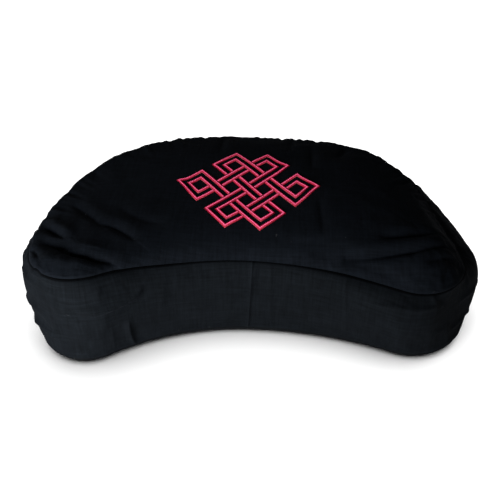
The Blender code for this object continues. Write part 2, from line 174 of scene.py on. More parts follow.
@dataclass(frozen=True)
class CrescentPlan:
    """The cushion's plan, from the middle of the front seam: tangent arcs and two horns.

    Attributes:
        depth: From the front seam to the back seam in the middle.
        left: The left horn, mirrored to the right.
        right: The right horn.
    """

    depth: float = 0.1895
    left: Horn = Horn(x=0.164, y=-0.0055, radius=0.045, crest_drop=0.012)
    right: Horn = Horn(x=0.1645, y=0.0225, radius=0.0535, crest_drop=0.018, drop_power=3.0)
    def right_half(self, horn: Horn, side_steps: int, horn_steps: int) -> Loop:
        """Draws the stations from the middle of the back round a horn to the front's middle.

        Args:
            horn: The horn, on the right.
            side_steps: Steps along the back, and again along the front.
            horn_steps: Steps round the horn.

        Returns:
            The stations, both middles included.
        """
        back = Arc.to_horn(self.depth, -horn.radius, horn)
        crest = Arc.to_horn(self.depth / 2, 0, horn)
        front = Arc.to_horn(0, horn.radius, horn)
        tip = np.array([horn.x, horn.y])
        along = np.arange(side_steps + 1) / side_steps
        round_tip = np.arange(1, horn_steps) / horn_steps
        angles = back.sweep + (math.pi + front.sweep - back.sweep) * round_tip
        horn_rim = tip + horn.radius * np.stack([np.sin(angles), np.cos(angles)], axis=-1)
        rim = np.concatenate([back.points(along), horn_rim, front.points(along[::-1])])
        horn_crest = np.repeat(tip[None, :], horn_steps - 1, axis=0)
        crests = np.concatenate([crest.points(along), horn_crest, crest.points(along[::-1])])
        turns = np.concatenate([along, 1 + round_tip, 2 + along])
        return Loop(rim, crests, turns)

    def left_half(self, side_steps: int, horn_steps: int) -> Loop:
        """Draws the stations from the middle of the front round the left horn.

        Args:
            side_steps: Steps along the front and along the back.
            horn_steps: Steps round the horn.

        Returns:
            The half loop, up to the middle of the back.
        """
        half = self.right_half(self.left, side_steps, horn_steps)
        mirror = np.array([-1.0, 1.0])
        turns = FULL_TURN - half.turns
        return Loop(half.rim[::-1] * mirror, half.crest[::-1] * mirror, turns[::-1])

    def from_back(self, side_steps: int, horn_steps: int) -> Loop:
        """Draws a closed loop that starts at the middle of the back."""
        right = self.right_half(self.right, side_steps, horn_steps)
        return right.followed_by(self.left_half(side_steps, horn_steps)).without_last()

    def from_join(self, side_steps: int, horn_steps: int) -> Loop:
        """Draws an open loop whose two ends meet at the middle of the front."""
        left = self.left_half(side_steps, horn_steps)
        return left.followed_by(self.right_half(self.right, side_steps, horn_steps))


# ----- Main form -----


@dataclass(frozen=True)
class SeamPlace:
    """The upper seam and the cloth beside it, at one turn.

    Attributes:
        height: Height of the seam.
        bulge: How far the band below it bulges.
        inset: How far the seam lies inside the plan's rim, over a band that leans in.
        flat: How flat the crown runs up from the seam: 0 for a full edge, 1 for a straight slope.
    """

    height: float
    bulge: float
    inset: float = 0.0
    flat: float = 0.0


@dataclass(frozen=True)
class SeamLine:
    """How the upper seam rises and falls round the cushion.

    Attributes:
        places: The seam at every half turn, from the middle of the back.
    """

    places: tuple[SeamPlace, ...] = (
        SeamPlace(height=0.1120, bulge=0.0100),
        SeamPlace(height=0.1250, bulge=0.0190, flat=0.6),
        SeamPlace(height=0.0900, bulge=0.0222, inset=0.0101, flat=1.0),
        SeamPlace(height=0.0857, bulge=-0.0030, inset=0.0036, flat=0.8),
        SeamPlace(height=0.0842, bulge=0.0136, inset=0.0042, flat=0.1),
        SeamPlace(height=0.0935, bulge=0.0090),
        SeamPlace(height=0.0975, bulge=0.0070),
        SeamPlace(height=0.1000, bulge=0.0090),
        SeamPlace(height=0.1110, bulge=0.0120),
        SeamPlace(height=0.1120, bulge=0.0030),
        SeamPlace(height=0.1120, bulge=0.0110),
        SeamPlace(height=0.1310, bulge=0.0105),
    )
    def at(self, turns: Array, column: str) -> Array:
        """Reads a column on a smooth closed curve through its rows.

        Args:
            turns: The turns to read it at.
            column: The name of the column, such as "height".

        Returns:
            The column's value at each turn.
        """
        values = np.array([getattr(place, column) for place in self.places])
        count = len(values)
        position = turns * count / FULL_TURN
        index = np.floor(position).astype(int)
        share = position - index
        before, first, second, after = (values[(index + step) % count] for step in (-1, 0, 1, 2))
        rise_first, rise_second = (second - before) / 2, (after - first) / 2
        square, cube = share**2, share**3
        return (
            first * (2 * cube - 3 * square + 1)
            + second * (3 * square - 2 * cube)
            + rise_first * (cube - 2 * square + share)
            + rise_second * (cube - square)
        )


def from_back(turns: Array) -> Array:
    """Returns how many turns the stations lie from the middle of the back, the shorter way."""
    return np.minimum(turns, FULL_TURN - turns)


def smooth_step(shares: Array) -> Array:
    """Eases shares from 0 to 1, and holds what lies outside."""
    shares = np.clip(shares, 0.0, 1.0)
    return shares * shares * (3 - 2 * shares)


@dataclass(frozen=True)
class CushionForm:
    """The filled cushion's main form, as its solid has it.

    Attributes:
        plan: Its plan.
        seam: Its upper seam.
        front_seam: Where the middle of the front seam lies on the floor's plan.
        crest_height: Height of the crown's crest in the middle, before the seat's hollow.
        hem_height: Height of the lower seam.
        hem_spread: How far the hem stands out past the upper seam.
        hem_inset: From the hem in to where the base touches the floor.
        crown_flatness: How flat the crown stays near its crest.
        crown_power_back: How full the crown's edge is at the back; smaller is fuller.
        crown_power_front: The same at the front.
        bulge_lift: Below 1, the band's bulge sits above its middle.
        slope_power: How round the crown's slope is where it runs flat; 1 is a cone.
        lean_power: How near the seam the band leans in to it; larger is nearer.
        hollow_middle: Middle of the shallow hollow that sitting leaves.
        hollow_reach: How far the hollow reaches across and along.
        hollow_depth: Its depth.
    """

    plan: CrescentPlan = CrescentPlan()
    seam: SeamLine = SeamLine()
    front_seam: tuple[float, float] = (-0.0061, -0.0704)
    crest_height: float = 0.138
    hem_height: float = 0.010
    hem_spread: float = 0.0035
    hem_inset: float = 0.012
    crown_flatness: float = 1.9
    crown_power_back: float = 0.41
    crown_power_front: float = 0.45
    bulge_lift: float = 0.60
    slope_power: float = 2.2
    lean_power: float = 1.56
    hollow_middle: tuple[float, float] = (0.0, 0.060)
    hollow_reach: tuple[float, float] = (0.100, 0.0455)
    hollow_depth: float = 0.007

    def crest_heights(self, loop: Loop) -> Array:
        """Finds how high the crest stands, before the hollow.

        Args:
            loop: The stations.

        Returns:
            A height for each station.
        """
        x = loop.crest[:, 0]
        left, right = self.plan.left, self.plan.right
        horn_x = np.where(x > 0, right.x, left.x)
        drop = np.where(x > 0, right.crest_drop, left.crest_drop)
        power = np.where(x > 0, right.drop_power, left.drop_power)
        return self.crest_height - drop * (np.abs(x) / horn_x) ** power

    def crown_powers(self, turns: Array) -> Array:
        """Returns how full the crown's edge is at each turn."""
        change = self.crown_power_front - self.crown_power_back
        return self.crown_power_back + change * smooth_step(from_back(turns) - 1)

    def hollow(self, places: Array) -> Array:
        """Returns how far sitting has pressed the crown down at these places of the plan."""
        offsets = (places - np.array(self.hollow_middle)) / np.array(self.hollow_reach)
        return self.hollow_depth * np.exp(-(offsets**2).sum(axis=-1))

    def seam_rim(self, loop: Loop) -> Array:
        """Returns the upper seam's point at each station, on the plan."""
        return loop.rim - loop.outward * self.seam.at(loop.turns, "inset")[:, None]

    def top(self, loop: Loop, inward: Array) -> Array:
        """Draws the top panel.

        Args:
            loop: The stations.
            inward: Shares of the way from the seam to the crest, for the rows.

        Returns:
            Rows by stations by 3, on the plan's own origin.
        """
        reach = 1 - inward[:, None]
        places = loop.crest + (self.seam_rim(loop) - loop.crest) * reach[..., None]
        seam = self.seam.at(loop.turns, "height")
        full = np.maximum(0.0, 1 - reach**self.crown_flatness) ** self.crown_powers(loop.turns)
        rise = full + (1 - reach**self.slope_power - full) * self.seam.at(loop.turns, "flat")
        heights = seam + (self.crest_heights(loop) - seam) * rise - self.hollow(places)
        return np.concatenate([places, heights[..., None]], axis=-1)

    def band(self, loop: Loop, falls: Array) -> Array:
        """Draws the side band.

        Args:
            loop: The stations.
            falls: Shares of the way from the upper seam down to the hem, for the rows.

        Returns:
            Rows by stations by 3, on the plan's own origin.
        """
        fall = falls[:, None]
        seam = self.seam.at(loop.turns, "height")
        bulge = self.seam.at(loop.turns, "bulge")
        lean = self.seam.at(loop.turns, "inset") * (1 - fall) ** self.lean_power
        out = bulge * np.sin(np.pi * fall**self.bulge_lift) + self.hem_spread * fall - lean
        places = loop.rim + loop.outward * out[..., None]
        heights = seam + (self.hem_height - seam) * fall
        return np.concatenate([places, heights[..., None]], axis=-1)

    def base(self, loop: Loop, insets: Array) -> Array:
        """Draws the base panel from the hem to where it lies flat, and on to the crest's line.

        Args:
            loop: The stations.
            insets: Shares of the curved edge, for its rows.

        Returns:
            Rows by stations by 3, on the plan's own origin.
        """
        out = self.hem_spread - self.hem_inset * insets
        places = loop.rim + loop.outward * out[:, None, None]
        heights = np.repeat(self.hem_height * (1 - insets[:, None]) ** 2, len(loop.turns), axis=1)
        edge = np.concatenate([places, heights[..., None]], axis=-1)
        middle = np.concatenate([loop.crest, np.zeros((len(loop.turns), 1))], axis=-1)
        return np.concatenate([edge, middle[None]])

    def on_floor(self, places: Array) -> Array:
        """Moves points, or places of the plan, from the plan's origin to the floor's.

        Args:
            places: Places with x and y first.

        Returns:
            The moved places.
        """
        moved = places.copy()
        moved[..., :2] += np.array(self.front_seam)
        return moved


# ----- Cloth -----


def row_lengths(rows: Array) -> Array:
    """Returns how far along the cloth each point lies from the first row, station by station."""
    steps = np.linalg.norm(np.diff(rows, axis=0), axis=-1)
    return np.concatenate([np.zeros((1, steps.shape[1])), np.cumsum(steps, axis=0)])


def laid_by_length(close_rows: Array, shares: Array) -> tuple[Array, Array]:
    """Picks rows at shares of the cloth's length from closely spaced ones.

    Args:
        close_rows: Closely spaced rows by stations by 3.
        shares: Shares of each station's whole length, from 0 to 1.

    Returns:
        The picked rows, and how far along the cloth each of their points lies.
    """
    lengths = row_lengths(close_rows)
    wanted = shares[:, None] * lengths[-1]
    picked = np.empty((*wanted.shape, 3))
    for station in range(wanted.shape[1]):
        for axis in range(3):
            picked[:, station, axis] = np.interp(
                wanted[:, station], lengths[:, station], close_rows[:, station, axis]
            )
    return picked, wanted


def quads_of(corners: Array) -> list[list[int]]:
    """Lists the four-sided faces of a grid.

    Args:
        corners: The grid's point numbers, whose rows and columns come last.

    Returns:
        Four point numbers for each face.
    """
    low, high = corners[..., :-1, :], corners[..., 1:, :]
    quads = np.stack([low[..., :-1], high[..., :-1], high[..., 1:], low[..., 1:]], axis=-1)
    return quads.reshape(-1, 4).tolist()


def new_mesh(name: str, points: Array, faces: list[list[int]]) -> bpy.types.Mesh:
    """Makes a smooth mesh.

    Args:
        name: The mesh's name.
        points: Its points, in an array of any shape by 3.
        faces: The point numbers of each face.

    Returns:
        The mesh.
    """
    mesh = bpy.data.meshes.new(name)
    mesh.from_pydata(points.reshape(-1, 3).tolist(), [], faces)
    mesh.shade_smooth()
    return mesh


@dataclass
class ClothGrid:
    """Points of cloth in rows, from one sewn edge of a panel to the other.

    Attributes:
        points: Rows by stations by 3.
        loop: The stations.
        lengths: How far along the cloth each point lies from the first row.
        closed: Whether the last station is joined to the first.
        crest_rows: Rows on the crest's line, where the two sides share their points.
        index: The number of each point, rows by stations.
    """

    points: Array
    loop: Loop
    lengths: Array
    closed: bool = True
    crest_rows: tuple[int, ...] = ()
    index: Array = field(init=False)

    def __post_init__(self) -> None:
        """Numbers the points, with one number for those that two sides share."""
        rows, stations = self.points.shape[:2]
        self.index = np.arange(rows * stations).reshape(rows, stations)
        for row in self.crest_rows:
            places = np.round(self.points[row, :, :2], 6)
            _, first, which = np.unique(places, axis=0, return_index=True, return_inverse=True)
            self.index[row] = self.index[row][first[which.reshape(-1)]]

    def faces(self) -> list[list[int]]:
        """Lists the faces between neighbouring rows.

        Returns:
            The faces' points, three where both sides share one.
        """
        corners = self.index
        if self.closed:
            corners = np.concatenate([corners, corners[:, :1]], axis=1)
        return [list(dict.fromkeys(quad)) for quad in quads_of(corners)]

    def mesh(self, name: str) -> bpy.types.Mesh:
        """Makes a smooth mesh of the grid. Its points that no face uses stay loose."""
        return new_mesh(name, self.points, self.faces())

    def normals(self) -> Array:
        """Works out the cloth's normals.

        Returns:
            The normal at each point, rows by stations by 3.
        """
        mesh = self.mesh("normals")
        found = np.empty(self.points.size, np.float32)
        mesh.vertex_normals.foreach_get("vector", found)
        bpy.data.meshes.remove(mesh)
        return found.reshape(-1, 3)[self.index]


@dataclass(frozen=True)
class Crease:
    """A crease that the filling pulls, through three places of a panel.

    Attributes:
        start: Its first place: (x, y) on the top, (x, z) on the front of the band.
        middle: A place that it passes.
        end: Its last place.
        width: Half width of its trough.
        depth: Depth of its trough.
        roll: Height of the roll of cloth beside it, as a share of the depth.
        side: On which side the roll lies, seen from start to end: 1 for left, -1 for right.
    """

    start: tuple[float, float]
    middle: tuple[float, float]
    end: tuple[float, float]
    width: float
    depth: float
    roll: float = 0.28
    side: int = 1

    STEPS = 20
    END = 0.04
    CORE_SHARE = 0.45
    CORE_WIDTH = 0.42
    ROLL_OFFSET = 2.2
    ROLL_WIDTH = 1.4

    def route(self) -> Array:
        """Draws the crease's curve through its three places.

        Returns:
            Points along the curve.
        """
        start, middle, end = (np.array(place) for place in (self.start, self.middle, self.end))
        handle = 2 * middle - (start + end) / 2
        share = np.linspace(0, 1, self.STEPS + 1)[:, None]
        return (1 - share) ** 2 * start + 2 * share * (1 - share) * handle + share**2 * end

    def relief(self, places: Array) -> Array:
        """Works out how far the crease moves the cloth.

        Args:
            places: Places of the panel, any shape by 2.

        Returns:
            The movement along the cloth's normal: below 0 in the trough.
        """
        route = self.route()
        along = np.diff(route, axis=0)
        offsets = places.reshape(-1, 1, 2) - route[:-1]
        parts = np.clip((offsets * along).sum(-1) / (along**2).sum(-1), 0, 1)
        gaps = offsets - along * parts[..., None]
        distances = np.linalg.norm(gaps, axis=-1)
        step = distances.argmin(axis=1)
        point = np.arange(len(step))
        gap, way = gaps[point, step], along[step]
        left = np.sign(way[:, 0] * gap[:, 1] - way[:, 1] * gap[:, 0])
        across = distances[point, step] / self.width
        share = (step + parts[point, step]) / self.STEPS
        fade = np.sqrt(np.sin(np.pi * (self.END + (1 - 2 * self.END) * share)))
        core = np.exp(-((across / self.CORE_WIDTH) ** 2))
        trough = (1 - self.CORE_SHARE) * np.exp(-(across**2)) + self.CORE_SHARE * core
        signed = across * left * self.side
        roll = self.roll * np.exp(-(((signed - self.ROLL_OFFSET) / self.ROLL_WIDTH) ** 2))
        return (self.depth * fade * (roll - trough)).reshape(places.shape[:-1])


def relief_of(creases: tuple[Crease, ...], places: Array) -> Array:
    """Adds up what several creases do at these places."""
    return sum(crease.relief(places) for crease in creases)


@dataclass(frozen=True)
class Gathers:
    """Scallops and small puckers where the cloth is eased into a seam.

    Attributes:
        scallop_depth: Depth of the scallops along the back.
        scallop_reach: How far they run from the seam.
        scallop_waves: How many broad and narrow ones there are to a turn.
        narrow_share: Depth of the narrow ones, as a share of the broad ones' depth.
        narrow_shift: How far the narrow ones are shifted, as an angle.
        fade_turn: The turn from the back's middle past which they fade.
        pucker_depth: Depth of the small puckers.
        pucker_reach: How far they run from the seam.
        pucker_spacings: Spacings of the waves that they are made of.
        drift: Over what length the puckers come and go.
        sway: How far their waves sway over that length, as an angle.
        swell: The middle of their swelling and how far it goes either way, as shares.
        swell_spacing: Spacing of the swelling, as a multiple of the drift.
        front_turn: The turn from the back's middle past which they flatten.
        front_share: What is left of them at the front, as a share.
    """

    scallop_depth: float = 0.0007
    scallop_reach: float = 0.020
    scallop_waves: tuple[float, float] = (7.0, 10.0)
    narrow_share: float = 0.4
    narrow_shift: float = 1.0
    fade_turn: float = 0.5
    pucker_depth: float = 0.0006
    pucker_reach: float = 0.011
    pucker_spacings: tuple[float, ...] = (0.0083, 0.0127, 0.0191)
    drift: float = 0.071
    sway: float = 1.7
    swell: tuple[float, float] = (0.55, 0.45)
    swell_spacing: float = 2.3
    front_turn: float = 0.9
    front_share: float = 0.06

    def scallops(self, loop: Loop, from_seam: Array) -> Array:
        """Works out how far the back's scallops draw the cloth in.

        Args:
            loop: The stations.
            from_seam: Distance from the seam, rows by stations.

        Returns:
            The movement outward: 0 or below.
        """
        turns = loop.turns
        fade = 1 - smooth_step(from_back(turns) - self.fade_turn)
        broad = np.sin(math.tau * self.scallop_waves[0] * turns)
        narrow = np.sin(math.tau * self.scallop_waves[1] * turns + self.narrow_shift)
        near = np.exp(-((from_seam / self.scallop_reach) ** 2))
        return self.scallop_depth * fade * near * (broad + self.narrow_share * narrow - 1)

    def puckers(self, loop: Loop, along: Array, from_seam: Array, shift: float) -> Array:
        """Works out the small puckers beside a seam, which are 0 at the seam itself.

        Args:
            loop: The stations.
            along: Distance along the seam, for each station.
            from_seam: Distance from the seam, rows by stations.
            shift: Moves the waves, so that two panels differ.

        Returns:
            The movement along the cloth's normal.
        """
        waves = 0
        for number, spacing in enumerate(self.pucker_spacings):
            swayed = self.sway * np.sin(along / self.drift + number)
            waves = waves + np.sin(math.tau * along / spacing + shift * (number + 1) + swayed)
        middle, either_way = self.swell
        rounds = math.tau * along / (self.swell_spacing * self.drift)
        swell = middle + either_way * np.sin(rounds + 2 * shift)
        swell *= 1 - (1 - self.front_share) * smooth_step(from_back(loop.turns) - self.front_turn)
        share = from_seam / self.pucker_reach
        near = share * np.exp(1 - share) * np.exp(-(share**2) / 6)
        return self.pucker_depth * swell * waves * near


@dataclass(frozen=True)
class SettledCover:
    """The small wrinkles of the simulated cover.

    Attributes:
        turns: The turn of each station.
        top: Movement of the top panel's cloth, rows by stations by 3, from the seam.
        band: Movement of the band's cloth, rows by stations by 3, from the upper seam.
    """

    turns: Array
    top: Array
    band: Array

    def sampled(self, rows: Array, loop: Loop, shares: Array) -> Array:
        """Reads the wrinkles of a panel between the simulated points, on smooth curves.

        Args:
            rows: The panel's movements, self.top or self.band.
            loop: The stations to read them at.
            shares: The rows to read them at, as shares of the panel's length.

        Returns:
            The movements, rows by stations by 3.
        """
        stations = len(self.turns)
        closed_turns = np.append(self.turns, FULL_TURN)
        column = np.interp(loop.turns % FULL_TURN, closed_turns, np.arange(stations + 1))
        row = shares * (len(rows) - 1)
        by_row = self._along_rows(rows, row)
        return self._along_stations(by_row, column)

    @staticmethod
    def _weights(part: Array) -> tuple[Array, ...]:
        """Weighs four even points for a smooth curve through them.

        Args:
            part: How far each place lies between the middle two.

        Returns:
            The four weights.
        """
        square, cube = part**2, part**3
        return (
            (-cube + 2 * square - part) / 2,
            (3 * cube - 5 * square + 2) / 2,
            (-3 * cube + 4 * square + part) / 2,
            (cube - square) / 2,
        )

    def _along_rows(self, values: Array, row: Array) -> Array:
        """Reads values between rows, holding the first and last ones.

        Args:
            values: Values by row and station.
            row: Where to read, counted in rows.

        Returns:
            A row of values for each place.
        """
        index = np.minimum(np.floor(row).astype(int), len(values) - 2)
        weights = self._weights(row - index)
        steps = (np.clip(index + step, 0, len(values) - 1) for step in (-1, 0, 1, 2))
        return sum(w[:, None, None] * values[at] for w, at in zip(weights, steps))

    def _along_stations(self, values: Array, column: Array) -> Array:
        """Reads values between stations, round the closed loop.

        Args:
            values: Values by row and station.
            column: Where to read, counted in stations.

        Returns:
            A column of values for each place.
        """
        count = values.shape[1]
        index = np.floor(column).astype(int)
        weights = self._weights(column - index)
        steps = ((index + step) % count for step in (-1, 0, 1, 2))
        return sum(w[None, :, None] * values[:, at] for w, at in zip(weights, steps))


@dataclass(frozen=True)
class ClothSettling:
    """A short cloth simulation of the whole cover, held at its seams and under pressure.

    Attributes:
        side_steps: Stations along the back and along the front, on each side.
        horn_steps: Stations round a horn.
        top_rows: Rows of faces on the top panel.
        band_rows: Rows of faces on the band.
        frames: Length of the simulation.
        pressure: Pressure of the filling.
        spare_cloth: How much larger the cloth is cut than the form, as a share.
        kept: The share of the wrinkles that the dense filling leaves.
        most: The furthest that a wrinkle may move the cloth.
        evening: Passes of averaging that find the main form, which the wrinkles leave alone.

    CLOTH holds the cloth's own settings. BAND_ROWS and TOP_ROWS are the closely spaced rows that
    the panels' rows are picked from, and SMALLEST keeps a wrinkle of no size from dividing by 0.
    """

    side_steps: int = 50
    horn_steps: int = 26
    top_rows: int = 20
    band_rows: int = 20
    frames: int = 24
    pressure: float = 4.0
    spare_cloth: float = 0.015
    kept: float = 0.5
    most: float = 0.0018
    evening: int = 12

    SMALLEST = 1e-9
    BAND_ROWS = 121
    TOP_ROWS = 241
    CLOTH = {
        "quality": 6,
        "mass": 0.25,
        "tension_stiffness": 20,
        "compression_stiffness": 20,
        "shear_stiffness": 8,
        "bending_stiffness": 0.6,
        "use_pressure": True,
    }

    def run(self, form: CushionForm) -> SettledCover:
        """Simulates the cover.

        Args:
            form: The cushion's main form.

        Returns:
            The wrinkles that the cloth settles into.
        """
        loop = form.plan.from_back(self.side_steps, self.horn_steps)
        close_top = form.top(loop, np.linspace(0, 1, self.TOP_ROWS) ** CROWDED_TO_SEAM)
        close_band = form.band(loop, np.linspace(0, 1, self.BAND_ROWS))
        top, _ = laid_by_length(close_top, np.linspace(0, 1, self.top_rows + 1))
        band, _ = laid_by_length(close_band, np.linspace(0, 1, self.band_rows + 1))
        base = form.base(loop, np.array([0.5, 1.0]))
        points = np.concatenate([top[::-1], band[1:], base])
        rows = len(points)
        grid = ClothGrid(points, loop, np.zeros(rows), crest_rows=(0, rows - 1))
        sewn = [self.top_rows, *range(self.top_rows + self.band_rows, rows)]
        moved = self._simulated(grid, grid.index[sewn].reshape(-1)) - points
        limit = np.maximum(1, np.linalg.norm(moved, axis=-1, keepdims=True) / self.most)
        top_moves = self._wrinkles(moved[: self.top_rows + 1][::-1])
        band_moves = self._wrinkles(moved[self.top_rows : self.top_rows + self.band_rows + 1])
        furthest = 1000 * limit.max() * self.most
        LOG.info("cover settled: %d points, most %.1f mm", grid.points.size // 3, furthest)
        return SettledCover(loop.turns, top_moves, band_moves)

    def flat(self, form: CushionForm) -> SettledCover:
        """Args:
            form: The cushion's form.

        Returns:
            The flat cover.
        """
        loop = form.plan.from_back(self.side_steps, self.horn_steps)
        stations = len(loop.turns)
        shapes = ((rows + 1, stations, 3) for rows in (self.top_rows, self.band_rows))
        return SettledCover(loop.turns, *(np.zeros(shape) for shape in shapes))

    def _simulated(self, grid: ClothGrid, sewn: Array) -> Array:
        """Runs Blender's cloth on a grid.

        Args:
            grid: The closed cover.
            sewn: Numbers of the points that the seams hold.

        Returns:
            Where the cloth's points end up, rows by stations by 3.
        """
        cover = bpy.data.objects.new("settling_cover", grid.mesh("settling_cover"))
        bpy.context.scene.collection.objects.link(cover)
        group = cover.vertex_groups.new(name="sewn")
        group.add(sewn.tolist(), 1.0, "REPLACE")
        cloth = cover.modifiers.new("cloth", "CLOTH")
        settings = cloth.settings
        for name, value in self.CLOTH.items():
            setattr(settings, name, value)
        settings.vertex_group_mass = group.name
        settings.shrink_min = -self.spare_cloth
        settings.uniform_pressure_force = self.pressure
        settings.effector_weights.gravity = 0
        cloth.point_cache.frame_end = self.frames
        scene = bpy.context.scene
        for frame in range(1, self.frames + 1):
            scene.frame_set(frame)
        settled = cover.evaluated_get(bpy.context.evaluated_depsgraph_get()).data
        found = np.empty(grid.points.size, np.float32)
        settled.vertices.foreach_get("co", found)
        bpy.data.objects.remove(cover)
        scene.frame_set(1)
        return found.reshape(-1, 3)[grid.index].astype(float)

    def _wrinkles(self, moves: Array) -> Array:
        """Keeps the small wrinkles of some movements, within the limit.

        Args:
            moves: Movements of a panel, rows by stations by 3, held at its first row.

        Returns:
            The movements without their broad part.
        """
        broad = moves
        for _ in range(self.evening):
            broad = (np.roll(broad, 1, axis=1) + 2 * broad + np.roll(broad, -1, axis=1)) / 4
            padded = np.concatenate([broad[:1], broad, broad[-1:]])
            broad = (padded[:-2] + 2 * padded[1:-1] + padded[2:]) / 4
        fine = self.kept * (moves - broad)
        fine[0] = 0
        size = np.linalg.norm(fine, axis=-1, keepdims=True)
        return fine * self.most * np.tanh(size / self.most) / np.maximum(size, self.SMALLEST)


# ----- Node helpers and shared shader effects -----


class NodeGraph:
    """A node tree, with short calls that add a node and join its sockets."""

    def __init__(self, tree: bpy.types.NodeTree) -> None:
        """Takes over a tree and empties it."""
        self.tree = tree
        tree.nodes.clear()

    def add(self, kind: str, values: dict | None = None, **settings: object) -> bpy.types.Node:
        """Adds a node.

        Args:
            kind: The node's type, such as "ShaderNodeMath".
            values: What each input gets: a plain value, or the socket that feeds it.
            **settings: The node's own options.

        Returns:
            The node.
        """
        node = self.tree.nodes.new(kind)
        for name, value in settings.items():
            setattr(node, name, value)
        for name, value in (values or {}).items():
            if isinstance(value, bpy.types.NodeSocket):
                self.tree.links.new(value, node.inputs[name])
            else:
                node.inputs[name].default_value = value
        return node

    def math(self, operation: str, *values: object) -> bpy.types.NodeSocket:
        """Returns the result of a Math node on these values."""
        return self.add("ShaderNodeMath", dict(enumerate(values)), operation=operation).outputs[0]

    def vector(self, operation: str, *values: object) -> bpy.types.NodeSocket:
        """Returns the result of a Vector Math node on these values."""
        node = self.add("ShaderNodeVectorMath", dict(enumerate(values)), operation=operation)
        return node.outputs[0]

    def scaled(self, place: object, size: object) -> bpy.types.NodeSocket:
        """Returns a place counted in steps of this size."""
        return self.times(place, self.math("DIVIDE", 1.0, size))

    def blend(self, share: object, first: object, second: object) -> bpy.types.NodeSocket:
        """Returns a colour between two others."""
        values = {0: share, 6: first, 7: second}
        return self.add("ShaderNodeMix", values, data_type="RGBA").outputs[2]

    def noise(self, place: object, detail: float = 2.0) -> bpy.types.NodeSocket:
        """Returns a Noise Texture's value at a place counted in its own grains."""
        values = {"Vector": place, "Scale": 1.0, "Detail": detail}
        return self.add("ShaderNodeTexNoise", values).outputs[0]

    def noise_colour(self, place: object, scale: float) -> bpy.types.NodeSocket:
        """Returns a Noise Texture's three values, as a colour."""
        return self.add("ShaderNodeTexNoise", {"Vector": place, "Scale": scale}).outputs[1]

    def times(self, vector: object, size: object) -> bpy.types.NodeSocket:
        """Returns a vector or a colour times a number."""
        node = self.add("ShaderNodeVectorMath", {0: vector, "Scale": size}, operation="SCALE")
        return node.outputs[0]

    def between(self, value: object, old: Range, new: Range) -> bpy.types.NodeSocket:
        """Returns a value moved from one range to another, and held inside it."""
        values = dict(enumerate((value, *old, *new)))
        return self.add("ShaderNodeMapRange", values).outputs[0]

    def attribute(self, name: str, output: str) -> bpy.types.NodeSocket:
        """Returns what a mesh stores for each of its points."""
        return self.add("ShaderNodeAttribute", attribute_name=name).outputs[output]


class SocketKind(Enum):
    """The kinds of socket that a shared effect has."""

    NUMBER = "NodeSocketFloat"
    PLACE = "NodeSocketVector"
    COLOUR = "NodeSocketColor"


class SharedEffect:
    """A shader node group that several materials use, built once."""

    name = ""
    takes: dict[str, SocketKind] = {}
    gives: dict[str, SocketKind] = {}

    @classmethod
    def group(cls) -> bpy.types.NodeTree:
        """Finds the effect's node group, which the first call builds.

        Returns:
            The node group.
        """
        if cls.name in bpy.data.node_groups:
            return bpy.data.node_groups[cls.name]
        tree = bpy.data.node_groups.new(cls.name, "ShaderNodeTree")
        graph = NodeGraph(tree)
        for name, kind in cls.takes.items():
            tree.interface.new_socket(name=name, in_out="INPUT", socket_type=kind.value)
        for name, kind in cls.gives.items():
            tree.interface.new_socket(name=name, in_out="OUTPUT", socket_type=kind.value)
        inputs = graph.add("NodeGroupInput").outputs
        graph.add("NodeGroupOutput", cls.build(graph, inputs))
        return tree

    @classmethod
    def build(cls, graph: NodeGraph, inputs: bpy.types.bpy_prop_collection) -> dict:
        """Adds the effect's nodes and returns what feeds each of its outputs."""
        raise NotImplementedError

    @classmethod
    def placed(cls, graph: NodeGraph, values: dict) -> bpy.types.bpy_prop_collection:
        """Places the effect in a material and returns its outputs."""
        return graph.add("ShaderNodeGroup", values, node_tree=cls.group()).outputs


